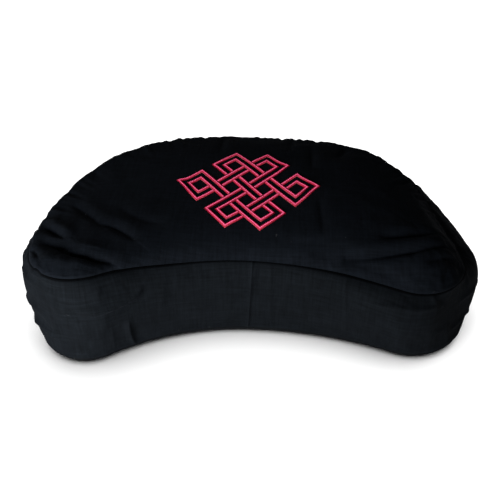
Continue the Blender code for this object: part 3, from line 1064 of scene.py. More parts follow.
class PlainWeave(SharedEffect):
    """Threads that pass over and under each other, with uneven spacing and thick places."""

    name = "plain_weave"
    takes = {"Place": SocketKind.PLACE, "Pitch": SocketKind.NUMBER, "Wander": SocketKind.NUMBER}
    gives = {"Height": SocketKind.NUMBER, "Slub": SocketKind.NUMBER}
    DRIFT_SCALE = 0.09
    SLUBS = ((0.9, 0.03), (0.31, 0.02))

    @classmethod
    def build(cls, graph: NodeGraph, inputs: bpy.types.bpy_prop_collection) -> dict:
        """Adds the weave's nodes.

        Args:
            graph: The group's graph.
            inputs: Place on the cloth in metres, Pitch of the threads, and Wander in threads.

        Returns:
            Height of the threads from 0 to 1, and Slub, how thick the threads are here.
        """
        threads = graph.scaled(inputs["Place"], inputs["Pitch"])
        drift = graph.noise_colour(threads, cls.DRIFT_SCALE)
        centred = graph.vector("SUBTRACT", drift, (0.5, 0.5, 0.5))
        moved = graph.times(centred, inputs["Wander"])
        place = graph.add("ShaderNodeSeparateXYZ", {0: graph.vector("ADD", threads, moved)})
        x, y = place.outputs[0], place.outputs[1]
        warp = cls.thread(graph, x, y, 1.0)
        weft = cls.thread(graph, y, x, -1.0)
        slub = 0.0
        for across, along in cls.SLUBS:
            for stretch in ((across, along, 1.0), (along, across, 1.0)):
                grain = graph.noise(graph.vector("MULTIPLY", threads, stretch))
                slub = graph.math("MULTIPLY_ADD", grain, 0.5 / len(cls.SLUBS), slub)
        return {"Height": graph.math("MAXIMUM", warp, weft), "Slub": slub}

    @staticmethod
    def thread(graph: NodeGraph, across: object, along: object, first: float) -> bpy.types.NodeSocket:
        """Adds the height of one set of threads.

        Args:
            graph: The group's graph.
            across: Place across the threads, in threads.
            along: Place along them.
            first: 1 where the first thread starts over the others, -1 where under.

        Returns:
            The threads' height, from 0 to 1.
        """
        profile = graph.math("ABSOLUTE", graph.math("SINE", graph.math("MULTIPLY", across, math.pi)))
        number = graph.math("MULTIPLY", graph.math("FLOOR", across), math.pi)
        phase = graph.math("ADD", graph.math("MULTIPLY_ADD", along, math.pi, -math.pi / 2), number)
        wave = graph.math("MULTIPLY_ADD", graph.math("COSINE", phase), 0.5 * first, 0.5)
        return graph.math("MULTIPLY", profile, wave)


class DyeMottle(SharedEffect):
    """Uneven dye and fading, in soft patches."""

    name = "dye_mottle"
    takes = {"Place": SocketKind.PLACE, "Patch": SocketKind.NUMBER}
    gives = {"Tone": SocketKind.NUMBER}
    FINER = (5.0, 5.0, 5.0)
    FINE_SHARE = 0.35
    BROAD_SHARE = 0.65
    SEEN = (0.36, 0.64)

    @classmethod
    def build(cls, graph: NodeGraph, inputs: bpy.types.bpy_prop_collection) -> dict:
        """Adds the mottle's nodes: Tone runs from 0, dark, to 1, faded.

        Args:
            graph: The group's graph.
            inputs: The group's inputs.

        Returns:
            What each output gets.
        """
        patches = graph.scaled(inputs["Place"], inputs["Patch"])
        broad = graph.noise(patches, detail=3.0)
        fine = graph.noise(graph.vector("MULTIPLY", patches, cls.FINER))
        broad_part = graph.math("MULTIPLY", broad, cls.BROAD_SHARE)
        tone = graph.math("MULTIPLY_ADD", fine, cls.FINE_SHARE, broad_part)
        return {"Tone": graph.between(tone, cls.SEEN, (0.0, 1.0))}


class Lint(SharedEffect):
    """Sparse pale specks and short fibres that cling to dark cloth."""

    name = "lint"
    takes = {"Place": SocketKind.PLACE, "Spacing": SocketKind.NUMBER, "Size": SocketKind.NUMBER}
    gives = {"Mask": SocketKind.NUMBER}
    BEND_SCALE = 2.2
    BEND = (0.9, 0.9, 0.0)
    LEFT_OUT = 0.72

    @classmethod
    def build(cls, graph: NodeGraph, inputs: bpy.types.bpy_prop_collection) -> dict:
        """Adds the lint's nodes.

        Args:
            graph: The group's graph.
            inputs: Place on the cloth, Spacing of the specks and Size as a share of it.

        Returns:
            Mask, 1 on a speck and 0 beside it.
        """
        place = graph.scaled(inputs["Place"], inputs["Spacing"])
        bend = graph.noise_colour(place, cls.BEND_SCALE)
        bent = graph.vector("MULTIPLY_ADD", bend, cls.BEND, place)
        specks = graph.add("ShaderNodeTexVoronoi", {"Vector": bent, "Scale": 1.0})
        near = graph.math("LESS_THAN", specks.outputs["Distance"], inputs["Size"])
        chosen = graph.add("ShaderNodeSeparateColor", {0: specks.outputs["Color"]}).outputs[0]
        kept = graph.math("GREATER_THAN", chosen, cls.LEFT_OUT)
        return {"Mask": graph.math("MULTIPLY", near, kept)}


class ThreadTwist(SharedEffect):
    """The slanting plies of a twisted thread."""

    name = "thread_twist"
    takes = {"Place": SocketKind.PLACE, "Pitch": SocketKind.NUMBER}
    gives = {"Height": SocketKind.NUMBER}

    @classmethod
    def build(cls, graph: NodeGraph, inputs: bpy.types.bpy_prop_collection) -> dict:
        """Adds the twist's nodes: Place is (along, round, 0) on the thread, in metres.

        Args:
            graph: The group's graph.
            inputs: The group's inputs.

        Returns:
            What each output gets.
        """
        place = graph.add("ShaderNodeSeparateXYZ", {0: graph.scaled(inputs["Place"], inputs["Pitch"])})
        slant = graph.math("ADD", place.outputs[0], place.outputs[1])
        wave = graph.math("SINE", graph.math("MULTIPLY", slant, math.tau))
        return {"Height": graph.math("MULTIPLY_ADD", wave, 0.5, 0.5)}


# ----- Finishes -----

CLOTH_PLACE = "cloth_place"
THREAD_PLACE = "thread_place"
# Random dye mixed with a painted highlight along each thread's crest.
THREAD_DYE_AND_HIGHLIGHT = "thread_dye_and_highlight"
# Strength of the painted shade deep in a seam's groove.
PAINTED_SEAM_SHADE = "painted_seam_shade"


@dataclass(frozen=True)
class Finish:
    """A material with one Principled BSDF."""

    name: str

    def material(self) -> bpy.types.Material:
        """Builds the material round one shader.

        Returns:
            The material.
        """
        material = bpy.data.materials.new(self.name)
        material.use_nodes = True
        graph = NodeGraph(material.node_tree)
        shader = graph.add("ShaderNodeBsdfPrincipled", self.sockets(graph))
        graph.add("ShaderNodeOutputMaterial", {0: shader.outputs[0]})
        return material

    def sockets(self, graph: NodeGraph) -> dict[str, object]:
        """Adds the nodes before the shader and returns what each of its sockets gets."""
        raise NotImplementedError


@dataclass(frozen=True)
class CottonFinish(Finish):
    """Plain-woven black cotton.

    Attributes:
        dark: Colour of the cloth where the dye is deepest.
        faded: Colour where it has faded.
        lint: Colour of the specks that cling to it.
        seam_shade_paint: Colour of the painted shade deep in a seam's groove.
        pitch: Spacing of the threads.
        wander: How far the threads wander from straight lines, in threads.
        relief: Height of the weave.
        patch: Size of the patches of uneven dye.
        lint_spacing: Spacing of the specks.
        lint_size: Size of a speck, as a share of their spacing.
        uneven: The range of the slub, from thin threads to thick ones.
        thread_light: How bright a thread is, from thin to thick.
        weave_painted_shade: Painted shade between the threads: how much brighter the weave is at its
            top, and how bright at its bottom.
        slub_relief: How far a thick thread stands out, as a share of the relief.
        bump: Strength of the relief.
        dull: The range of the slub over which the roughness falls.
        roughness: From thin threads to thick ones.
        sheen: Weight of the fuzz's sheen.
        sheen_roughness: How broad the sheen is.
        sheen_tint: Its colour.
        specular: Level of the gloss.
    """

    dark: Colour
    faded: Colour
    lint: Colour = (0.034, 0.036, 0.040, 1.0)
    seam_shade_paint: Colour = (0.0008, 0.0009, 0.0012, 1.0)
    pitch: float = 0.00075
    wander: float = 1.6
    relief: float = 0.00016
    patch: float = 0.026
    lint_spacing: float = 0.017
    lint_size: float = 0.045
    uneven: Range = (0.38, 0.62)
    thread_light: Range = (0.6, 1.4)
    weave_painted_shade: Range = (0.5, 0.65)
    slub_relief: float = 0.8
    bump: float = 0.8
    dull: Range = (0.2, 0.8)
    roughness: Range = (0.9, 0.8)
    sheen: float = 0.017
    sheen_roughness: float = 0.45
    sheen_tint: Colour = (0.62, 0.74, 1.0, 1.0)
    specular: float = 0.08

    def sockets(self, graph: NodeGraph) -> dict[str, object]:
        """Adds the cloth's nodes.

        Args:
            graph: The material's graph.

        Returns:
            What each of the shader's sockets gets.
        """
        place = graph.attribute(CLOTH_PLACE, "Vector")
        threads = {"Place": place, "Pitch": self.pitch, "Wander": self.wander}
        specks = {"Place": place, "Spacing": self.lint_spacing, "Size": self.lint_size}
        weave = PlainWeave.placed(graph, threads)
        tone = DyeMottle.placed(graph, {"Place": place, "Patch": self.patch})["Tone"]
        lint = Lint.placed(graph, specks)["Mask"]
        dyed = graph.blend(tone, self.dark, self.faded)
        thread = graph.between(weave["Slub"], self.uneven, self.thread_light)
        # Painted shade: the weave is darker between its threads than on them.
        depth = graph.math("MULTIPLY_ADD", weave["Height"], *self.weave_painted_shade)
        woven = graph.times(dyed, graph.math("MULTIPLY", thread, depth))
        # Painted shade: the cloth turns near black deep in a seam's groove.
        seam_shade_paint = graph.attribute(PAINTED_SEAM_SHADE, "Fac")
        height = graph.math("MULTIPLY_ADD", weave["Slub"], self.slub_relief, weave["Height"])
        relief = {"Height": height, "Strength": self.bump, "Distance": self.relief}
        return {
            "Base Color": graph.blend(seam_shade_paint, graph.blend(lint, woven, self.lint), self.seam_shade_paint),
            "Roughness": graph.between(weave["Slub"], self.dull, self.roughness),
            "Normal": graph.add("ShaderNodeBump", relief).outputs[0],
            "Sheen Weight": self.sheen,
            "Sheen Roughness": self.sheen_roughness,
            "Sheen Tint": self.sheen_tint,
            "Specular IOR Level": self.specular,
        }


@dataclass(frozen=True)
class ThreadFinish(Finish):
    """A shiny embroidery thread.

    Attributes:
        deep: The thread's colour where it dives into the cloth, a painted shade.
        body: Its colour along its flanks.
        bright: Its colour on the crest, a painted highlight.
        highlight_narrowing: How near the crest the painted highlight is; larger is nearer.
        twist: Pitch of its plies.
        relief: Height of its plies.
        bump: Strength of the relief.
        roughness: How dull it is between its plies and on them.
        sheen: Weight of its sheen.
        sheen_roughness: How broad the sheen is.
        sheen_tint: Its colour.
        specular: Level of the gloss.
    """

    deep: Colour
    body: Colour
    bright: Colour
    highlight_narrowing: float = 4.0
    twist: float = 0.0006
    relief: float = 0.00004
    bump: float = 0.7
    roughness: Range = (0.46, 0.32)
    sheen: float = 0.06
    sheen_roughness: float = 0.35
    sheen_tint: Colour = (1.0, 0.35, 0.5, 1.0)
    specular: float = 0.3

    def sockets(self, graph: NodeGraph) -> dict[str, object]:
        """Adds the thread's nodes.

        Args:
            graph: The material's graph.

        Returns:
            What each of the shader's sockets gets.
        """
        place = graph.attribute(THREAD_PLACE, "Vector")
        # Painted shade where a thread dives into the cloth, a painted highlight on its crest, and
        # random dye.
        tone = graph.attribute(THREAD_DYE_AND_HIGHLIGHT, "Fac")
        flank = graph.blend(tone, self.deep, self.body)
        twist = ThreadTwist.placed(graph, {"Place": place, "Pitch": self.twist})["Height"]
        relief = {"Height": twist, "Strength": self.bump, "Distance": self.relief}
        return {
            "Base Color": graph.blend(graph.math("POWER", tone, self.highlight_narrowing), flank, self.bright),
            "Roughness": graph.between(twist, (0.0, 1.0), self.roughness),
            "Normal": graph.add("ShaderNodeBump", relief).outputs[0],
            "Sheen Weight": self.sheen,
            "Sheen Roughness": self.sheen_roughness,
            "Sheen Tint": self.sheen_tint,
            "Specular IOR Level": self.specular,
        }


@dataclass(frozen=True)
class FloorFinish(Finish):
    """A plain white studio floor.

    Attributes:
        seen: Its colour as the camera sees it.
        bounced: Its darker colour for the light that it throws back on the cushion.
        roughness: How dull it is.
    """

    name: str = "white_floor"
    seen: Colour = (0.86, 0.86, 0.86, 1.0)
    bounced: Colour = (0.18, 0.18, 0.18, 1.0)
    roughness: float = 0.9

    def sockets(self, graph: NodeGraph) -> dict[str, object]:
        """Adds the floor's nodes.

        Args:
            graph: The material's graph.

        Returns:
            What each of the shader's sockets gets.
        """
        to_camera = graph.add("ShaderNodeLightPath").outputs["Is Camera Ray"]
        colour = graph.blend(to_camera, self.bounced, self.seen)
        return {"Base Color": colour, "Roughness": self.roughness, "Specular IOR Level": 0.0}


# ----- The cover's panels -----


def add_piece(mesh: bpy.types.Mesh, finish: Finish, slot: str, *nodes: str) -> bpy.types.Object:
    """Adds a piece of the cushion to the scene.

    Args:
        mesh: Its mesh, whose name it takes.
        finish: Its finish.
        slot: The record's material slot that the finish belongs to; not used.
        *nodes: The solids that it stands for.

    Returns:
        The piece.
    """
    mesh.materials.append(finish.material())
    piece = bpy.data.objects.new(mesh.name, mesh)
    bpy.context.scene.collection.objects.link(piece)
    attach(piece, BODY)
    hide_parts(*nodes)
    mesh.calc_loop_triangles()
    LOG.info("%s: %d triangles, %s", mesh.name, len(mesh.loop_triangles), finish.name)
    return piece


def set_places(mesh: bpy.types.Mesh, name: str, places: Array) -> None:
    """Stores a place for each point of a mesh, for the shaders to read."""
    attribute = mesh.attributes.new(name, "FLOAT_VECTOR", "POINT")
    attribute.data.foreach_set("vector", places.astype(np.float32).reshape(-1))


def set_tones(mesh: bpy.types.Mesh, name: str, tones: Array) -> None:
    """Stores a number for each point of a mesh, for the shaders to read."""
    attribute = mesh.attributes.new(name, "FLOAT", "POINT")
    attribute.data.foreach_set("value", tones.astype(np.float32).reshape(-1))


def along_loop(places: Array) -> Array:
    """Returns how far along a line of places each of them lies."""
    steps = np.linalg.norm(np.diff(places, axis=0), axis=-1)
    return np.concatenate([[0.0], np.cumsum(steps)])


@dataclass(frozen=True)
class SeamGroove:
    """The groove that a seam's stitches draw into the filling.

    Attributes:
        sink: How deep it is.
        width: Its half width.
        shade_reach: Half width of the painted shade at its bottom, as a share of that.
    """

    sink: float = 0.0034
    width: float = 0.0008
    shade_reach: float = 1.5

    def drawn_in(self, from_seam: Array) -> Array:
        """Returns how far the cloth is drawn in at these distances from the seam."""
        return self.sink * np.exp(-((from_seam / self.width) ** 2))

    def held(self, from_seam: Array) -> Array:
        """Returns how freely the cloth moves: 0 at the seam, 1 away from it."""
        return 1 - np.exp(-((from_seam / (2 * self.width)) ** 2))

    def closed(self, from_seam: Array) -> Array:
        """Returns how strong the painted shade in the closed groove is: 1 at its bottom."""
        return np.exp(-((from_seam / (self.shade_reach * self.width)) ** 4))


@dataclass(frozen=True)
class SeamPinch:
    """The short kink where the upper seam's two cloths were eased round the left horn.

    Attributes:
        turn: Where it lies.
        wide: Its half width, in turns.
        lift: How far the seam rises there.
        reach: How far the cloth beside the seam follows it.
    """

    turn: float = 4.570
    wide: float = 0.042
    lift: float = 0.0028
    reach: float = 0.007

    def rise(self, turns: Array, from_seam: Array) -> Array:
        """Works out how far the kink lifts the cloth.

        Args:
            turns: The turn of each station.
            from_seam: Distance from the seam, rows by stations.

        Returns:
            The movement upwards.
        """
        along = np.exp(-(((turns - self.turn) / self.wide) ** 4))
        return self.lift * along * np.exp(-((from_seam / self.reach) ** 2))


@dataclass(frozen=True)
class SeamLip:
    """The low ridge where the seam's turned edges lie under the cloth.

    Attributes:
        height: Its height.
        offset: How far it lies from the seam.
        width: Its half width.
        turns: Between which turns it shows.
        fade: Over how many turns it fades beyond them.
    """

    height: float = 0.0010
    offset: float = 0.0019
    width: float = 0.0008
    turns: tuple[float, float] = (0.50, 1.30)
    fade: float = 0.15

    def relief(self, turns: Array, from_seam: Array) -> Array:
        """Works out how far the lip lifts the cloth.

        Args:
            turns: The turn of each station.
            from_seam: Distance from the seam, rows by stations.

        Returns:
            The movement along the cloth's normal.
        """
        starts = smooth_step((turns - self.turns[0]) / self.fade + 1)
        ends = smooth_step((self.turns[1] - turns) / self.fade + 1)
        return self.height * starts * ends * np.exp(-(((from_seam - self.offset) / self.width) ** 2))


@dataclass(kw_only=True)
class Panel:
    """A cut panel of the cover, sewn to its neighbours and filled.

    Attributes:
        form: The cushion's main form.
        groove: The groove of the seams round it.
        side_steps: Stations along the back and along the front, on each side.
        horn_steps: Stations round a horn.
    """

    form: CushionForm
    groove: SeamGroove = SeamGroove()
    side_steps: int = 150
    horn_steps: int = 76

    name = ""

    def grid(self) -> ClothGrid:
        """Draws the panel's cloth."""
        raise NotImplementedError

    def cloth_places(self, grid: ClothGrid) -> Array:
        """Returns where each point lay on the flat cloth, before it was sewn."""
        raise NotImplementedError

    def mesh(self, grid: ClothGrid) -> bpy.types.Mesh:
        """Makes the panel's mesh, with painted shade in the seam that faces up.

        Args:
            grid: The panel's cloth.

        Returns:
            The mesh.
        """
        mesh = grid.mesh(self.name)
        # Painted shade in the seam's groove.
        set_tones(mesh, PAINTED_SEAM_SHADE, self.groove.closed(grid.lengths))
        return mesh

    def add(self, finish: CottonFinish) -> bpy.types.Object:
        """Makes the panel.

        Args:
            finish: The cloth that it is cut from.

        Returns:
            The piece.
        """
        grid = self.grid()
        mesh = self.mesh(grid)
        set_places(mesh, CLOTH_PLACE, self.cloth_places(grid))
        return add_piece(mesh, finish, "black_cotton", "cushion")


@dataclass(kw_only=True)
class TopPanel(Panel):
    """The crowned top panel, with the creases that run in from its horns and its back.

    Attributes:
        cover: The wrinkles of the settled cover.
        lip: The ridge of turned edges beside the seam.
        pinch: The kink in the seam.
        gathers: The scallops and puckers at the seam.
        rows: Rows of faces from the seam to the crest.
        crowding: How much closer they lie near the seam, from 0 to 1.
        close_rows: How many closely spaced rows they are picked from.
        taut: How freely the cloth wrinkles on the crown, as a share.
        loose_reach: How far from the seam it wrinkles more.
        backed_middle: Middle of the cloth that the embroidery's backing holds smooth.
        backed_reach: How far it holds it.
        creases: The creases, on the plan.
    """

    cover: SettledCover
    lip: SeamLip = SeamLip()
    pinch: SeamPinch = SeamPinch()
    gathers: Gathers = Gathers()
    rows: int = 72
    crowding: float = 0.85
    close_rows: int = 401
    taut: float = 0.25
    loose_reach: float = 0.040
    backed_middle: Place = KNOT_MIDDLE
    backed_reach: float = 0.075
    creases: tuple[Crease, ...] = (
        # Left horn: the pull at the tip, the hollow under it and the long trough by the seam.
        Crease((-0.202, 0.018), (-0.189, 0.006), (-0.175, -0.005), width=0.0040, depth=0.0072),
        Crease((-0.194, -0.007), (-0.181, -0.014), (-0.166, -0.017), width=0.0080, depth=0.0078),
        Crease((-0.178, -0.018), (-0.155, -0.027), (-0.126, -0.030), width=0.0048, depth=0.0074),
        Crease((-0.190, -0.028), (-0.172, -0.036), (-0.145, -0.038), width=0.0100, depth=-0.0024),
        Crease((-0.206, -0.015), (-0.200, -0.021), (-0.194, -0.028), width=0.0032, depth=0.0026),
        # Left shoulder: one long pull in two strokes, and a faint one behind it.
        Crease((-0.175, 0.044), (-0.160, 0.029), (-0.145, 0.015), width=0.0050, depth=0.0042),
        Crease((-0.143, 0.014), (-0.128, 0.009), (-0.110, -0.001), width=0.0050, depth=0.0038),
        Crease((-0.129, 0.039), (-0.109, 0.025), (-0.087, 0.020), width=0.0070, depth=0.0016),
        # Right horn: two long pulls towards the middle, and short ones at the tip.
        Crease((0.092, -0.005), (0.146, -0.001), (0.190, 0.013), width=0.0042, depth=0.0060),
        Crease((0.128, 0.013), (0.151, 0.018), (0.176, 0.024), width=0.0045, depth=0.0050),
        Crease((0.169, -0.009), (0.182, -0.003), (0.197, 0.004), width=0.0034, depth=0.0022),
        Crease((0.189, -0.003), (0.197, -0.001), (0.203, 0.000), width=0.0030, depth=0.0018),
        # Beside the knot, and the pulls that run in from the back seam.
        Crease((0.067, 0.058), (0.069, 0.036), (0.070, 0.016), width=0.0060, depth=0.0014),
        Crease((0.098, 0.154), (0.095, 0.144), (0.089, 0.132), width=0.0055, depth=0.0034),
        Crease((0.062, 0.150), (0.061, 0.130), (0.061, 0.108), width=0.0050, depth=0.0018),
        Crease((0.039, 0.172), (0.039, 0.158), (0.038, 0.142), width=0.0045, depth=0.0015),
        Crease((-0.036, 0.172), (-0.036, 0.158), (-0.036, 0.138), width=0.0045, depth=0.0020),
    )

    name = "top_panel"

    def grid(self) -> ClothGrid:
        """Draws the panel's cloth from the seam to the crest.

        Returns:
            The cloth, with everything that moves it.
        """
        loop = self.form.plan.from_back(self.side_steps, self.horn_steps)
        steps = np.linspace(0, 1, self.rows + 1)
        shares = (1 - self.crowding) * steps + self.crowding * steps**2
        close = self.form.top(loop, np.linspace(0, 1, self.close_rows) ** CROWDED_TO_SEAM)
        points, lengths = laid_by_length(close, shares)
        grid = ClothGrid(points, loop, lengths, crest_rows=(self.rows,))
        normals = grid.normals()
        seam_line = along_loop(loop.rim)
        relief = relief_of(self.creases, points[..., :2])
        relief += self.gathers.puckers(loop, seam_line, lengths, shift=0.0)
        relief += self.lip.relief(loop.turns, lengths)
        wrinkles = self.cover.sampled(self.cover.top, loop, shares)
        wrinkles *= self.slack(points, lengths)[..., None]
        held = self.groove.held(lengths)[..., None]
        moved = points + held * (normals * relief[..., None] + wrinkles)
        outward = self.gathers.scallops(loop, lengths) - self.groove.drawn_in(lengths)
        moved[..., :2] += loop.outward * outward[..., None]
        moved[..., 2] += self.pinch.rise(loop.turns, lengths)
        grid.points = self.form.on_floor(moved)
        return grid

    def slack(self, points: Array, lengths: Array) -> Array:
        """Works out how freely the cloth wrinkles.

        Args:
            points: Its points, on the plan's origin.
            lengths: Their distance from the seam.

        Returns:
            1 beside the seam, less on the taut crown, and 0 where the embroidery is backed.
        """
        loose = self.taut + (1 - self.taut) * np.exp(-((lengths / self.loose_reach) ** 2))
        from_knot = np.linalg.norm(points[..., :2] - np.array(self.backed_middle), axis=-1)
        return loose * (1 - np.exp(-((from_knot / self.backed_reach) ** 6)))

    def cloth_places(self, grid: ClothGrid) -> Array:
        """Finds where each point lay on the flat cloth, before it was sewn.

        Args:
            grid: The panel's cloth.

        Returns:
            A place for each point.
        """
        from_crest = grid.lengths[-1] - grid.lengths
        places = np.zeros_like(grid.points)
        places[..., :2] = grid.loop.crest + grid.loop.outward * from_crest[..., None]
        return places

@dataclass(kw_only=True)
class SideBand(Panel):
    """The side band, a strip whose two ends are joined at the middle of the front.

    Attributes:
        cover: The wrinkles of the settled cover.
        join: The groove where its ends are joined.
        join_lean: How far the join leans to the right at the upper seam.
        join_crossing: The inverse of the share of the fall at which the join stands plumb.
        join_reach: How far along the band the cloth leans with it.
        pinch: The kink in the upper seam.
        gathers: The scallops and puckers at both seams.
        rows: Rows of faces from the upper seam to the hem.
        crowding: How much closer they lie near both, from 0 to 1.
        close_rows: How many closely spaced rows they are picked from.
        shifts: What moves the waves of the puckers, at the upper seam and at the hem.
        front_turns: Between which turns the creases show.
        front_turn: The turn from the back's middle past which the band wrinkles less.
        front_slack: How freely it wrinkles there, as a share.
        creases: The creases, from the front: across and up.
    """

    cover: SettledCover
    join: SeamGroove = SeamGroove(sink=0.0010, width=0.0010)
    join_lean: float = 0.0030
    join_crossing: float = 1.35
    join_reach: float = 0.030
    pinch: SeamPinch = SeamPinch()
    gathers: Gathers = Gathers()
    rows: int = 64
    crowding: float = 0.85
    close_rows: int = 201
    shifts: tuple[float, float] = (2.1, 4.4)
    front_turns: tuple[float, float] = (1.15, 4.85)
    front_turn: float = 1.4
    front_slack: float = 0.3
    creases: tuple[Crease, ...] = (
        # Left: the slanting pull under the seam, and a broad one and a faint one beside it.
        Crease((-0.102, 0.086), (-0.117, 0.080), (-0.150, 0.078), width=0.0034, depth=0.0044),
        Crease((-0.150, 0.092), (-0.168, 0.084), (-0.186, 0.080), width=0.0080, depth=0.0018),
        Crease((-0.136, 0.104), (-0.136, 0.100), (-0.137, 0.094), width=0.0036, depth=0.0008),
        # Left: two short ones near the hem, the one at the kink, and three round the outline.
        Crease((-0.115, 0.052), (-0.116, 0.033), (-0.114, 0.012), width=0.0034, depth=0.0030),
        Crease((-0.130, 0.049), (-0.131, 0.035), (-0.132, 0.018), width=0.0045, depth=0.0012),
        Crease((-0.188, 0.1090), (-0.195, 0.1080), (-0.203, 0.1075), width=0.0018, depth=0.0016),
        Crease((-0.218, 0.036), (-0.198, 0.040), (-0.179, 0.035), width=0.0034, depth=0.0032),
        Crease((-0.220, 0.063), (-0.211, 0.064), (-0.202, 0.062), width=0.0032, depth=0.0019),
        Crease((-0.218, 0.099), (-0.209, 0.098), (-0.202, 0.095), width=0.0030, depth=0.0022),
        # Middle: the join's own hollow, and faint pulls beside it.
        Crease((0.003, 0.094), (0.000, 0.054), (-0.001, 0.006), width=0.0034, depth=0.0009),
        Crease((0.019, 0.094), (0.021, 0.060), (0.023, 0.016), width=0.0026, depth=0.0007),
        Crease((0.092, 0.088), (0.094, 0.060), (0.097, 0.024), width=0.0030, depth=0.0006),
        Crease((-0.080, 0.096), (-0.083, 0.070), (-0.088, 0.040), width=0.0060, depth=0.0008),
        # Right: the dent under the seam, the short one above it, and two round the outline.
        Crease((0.119, 0.072), (0.146, 0.074), (0.176, 0.072), width=0.0044, depth=0.0028),
        Crease((0.174, 0.084), (0.175, 0.081), (0.177, 0.076), width=0.0028, depth=0.0014),
        Crease((0.230, 0.060), (0.220, 0.060), (0.208, 0.057), width=0.0038, depth=0.0016),
        Crease((0.228, 0.032), (0.216, 0.031), (0.204, 0.028), width=0.0036, depth=0.0018),
    )

    name = "side_band"

    def grid(self) -> ClothGrid:
        """Draws the band's cloth from the upper seam to the hem.

        Returns:
            The cloth, with everything that moves it.
        """
        loop = self.form.plan.from_join(self.side_steps, self.horn_steps)
        steps = np.linspace(0, 1, self.rows + 1)
        eased = (1 - np.cos(np.pi * steps)) / 2
        shares = (1 - self.crowding) * steps + self.crowding * eased
        close = self.form.band(loop, np.linspace(0, 1, self.close_rows))
        points, lengths = laid_by_length(close, shares)
        grid = ClothGrid(points, loop, lengths, closed=False)
        normals = grid.normals()
        seam_line = along_loop(loop.rim)
        from_hem = lengths[-1] - lengths
        from_join = np.minimum(seam_line, seam_line[-1] - seam_line)
        faces_front = (loop.turns > self.front_turns[0]) & (loop.turns < self.front_turns[1])
        relief = relief_of(self.creases, points[..., ::2]) * faces_front
        for from_seam, shift in zip((lengths, from_hem), self.shifts):
            relief += self.gathers.puckers(loop, seam_line, from_seam, shift)
        relief -= self.join.drawn_in(from_join)
        wrinkles = self.cover.sampled(self.cover.band, loop, shares)
        at_front = smooth_step(from_back(loop.turns) - self.front_turn)
        wrinkles *= (1 - (1 - self.front_slack) * at_front)[None, :, None]
        held = (self.groove.held(lengths) * self.groove.held(from_hem))[..., None]
        moved = points + held * (normals * relief[..., None] + wrinkles)
        outward = self.gathers.scallops(loop, lengths)
        outward -= self.groove.drawn_in(lengths) + self.groove.drawn_in(from_hem)
        moved[..., :2] += loop.outward * outward[..., None]
        moved[..., 2] += self.pinch.rise(loop.turns, lengths)
        lean = self.join_lean * (1 - self.join_crossing * shares[:, None])
        moved[..., 0] += lean * np.exp(-((from_join / self.join_reach) ** 2))
        grid.points = self.form.on_floor(moved)
        return grid

    def cloth_places(self, grid: ClothGrid) -> Array:
        """Finds where each point lay on the flat strip, before it was sewn.

        Args:
            grid: The band's cloth.

        Returns:
            A place for each point.
        """
        places = np.zeros_like(grid.points)
        places[..., 0] = along_loop(grid.loop.rim)
        places[..., 1] = -grid.lengths
        return places


@dataclass(kw_only=True)
class BasePanel(Panel):
    """The flat base panel, which turns up to the hem at its edge.

    Attributes:
        edge_rows: Rows of faces on its turned-up edge.
    """

    edge_rows: int = 8

    name = "base_panel"

    def grid(self) -> ClothGrid:
        """Draws the base's cloth.

        Returns:
            The cloth, from the hem to the crest's line.
        """
        loop = self.form.plan.from_back(self.side_steps, self.horn_steps)
        points = self.form.base(loop, np.linspace(0, 1, self.edge_rows + 1))
        lengths = row_lengths(points)
        grid = ClothGrid(points, loop, lengths, crest_rows=(len(points) - 1,))
        points[..., :2] -= loop.outward * self.groove.drawn_in(lengths)[..., None]
        grid.points = self.form.on_floor(points)
        return grid

    def cloth_places(self, grid: ClothGrid) -> Array:
        """Returns where each point lies, as the base is flat."""
        return grid.points

    def mesh(self, grid: ClothGrid) -> bpy.types.Mesh:
        """Makes the panel's mesh, which faces down.

        Args:
            grid: The panel's cloth.

        Returns:
            The mesh.
        """
        mesh = grid.mesh(self.name)
        mesh.flip_normals()
        return mesh


# ----- The embroidered knot -----


class Way(Enum):
    """Which way a strand of the knot runs over its chart."""

    ACROSS = 0
    ALONG = 1


@dataclass(frozen=True)
class SatinLine:
    """A stretch of the knot's outline, between its two edges, in pitches of the chart.

    Attributes:
        near: Start and end of the edge beside the strand's core, each (across, along).
        far: Start and end of the outer edge.
    """

    near: tuple[tuple[float, float], tuple[float, float]]
    far: tuple[tuple[float, float], tuple[float, float]]


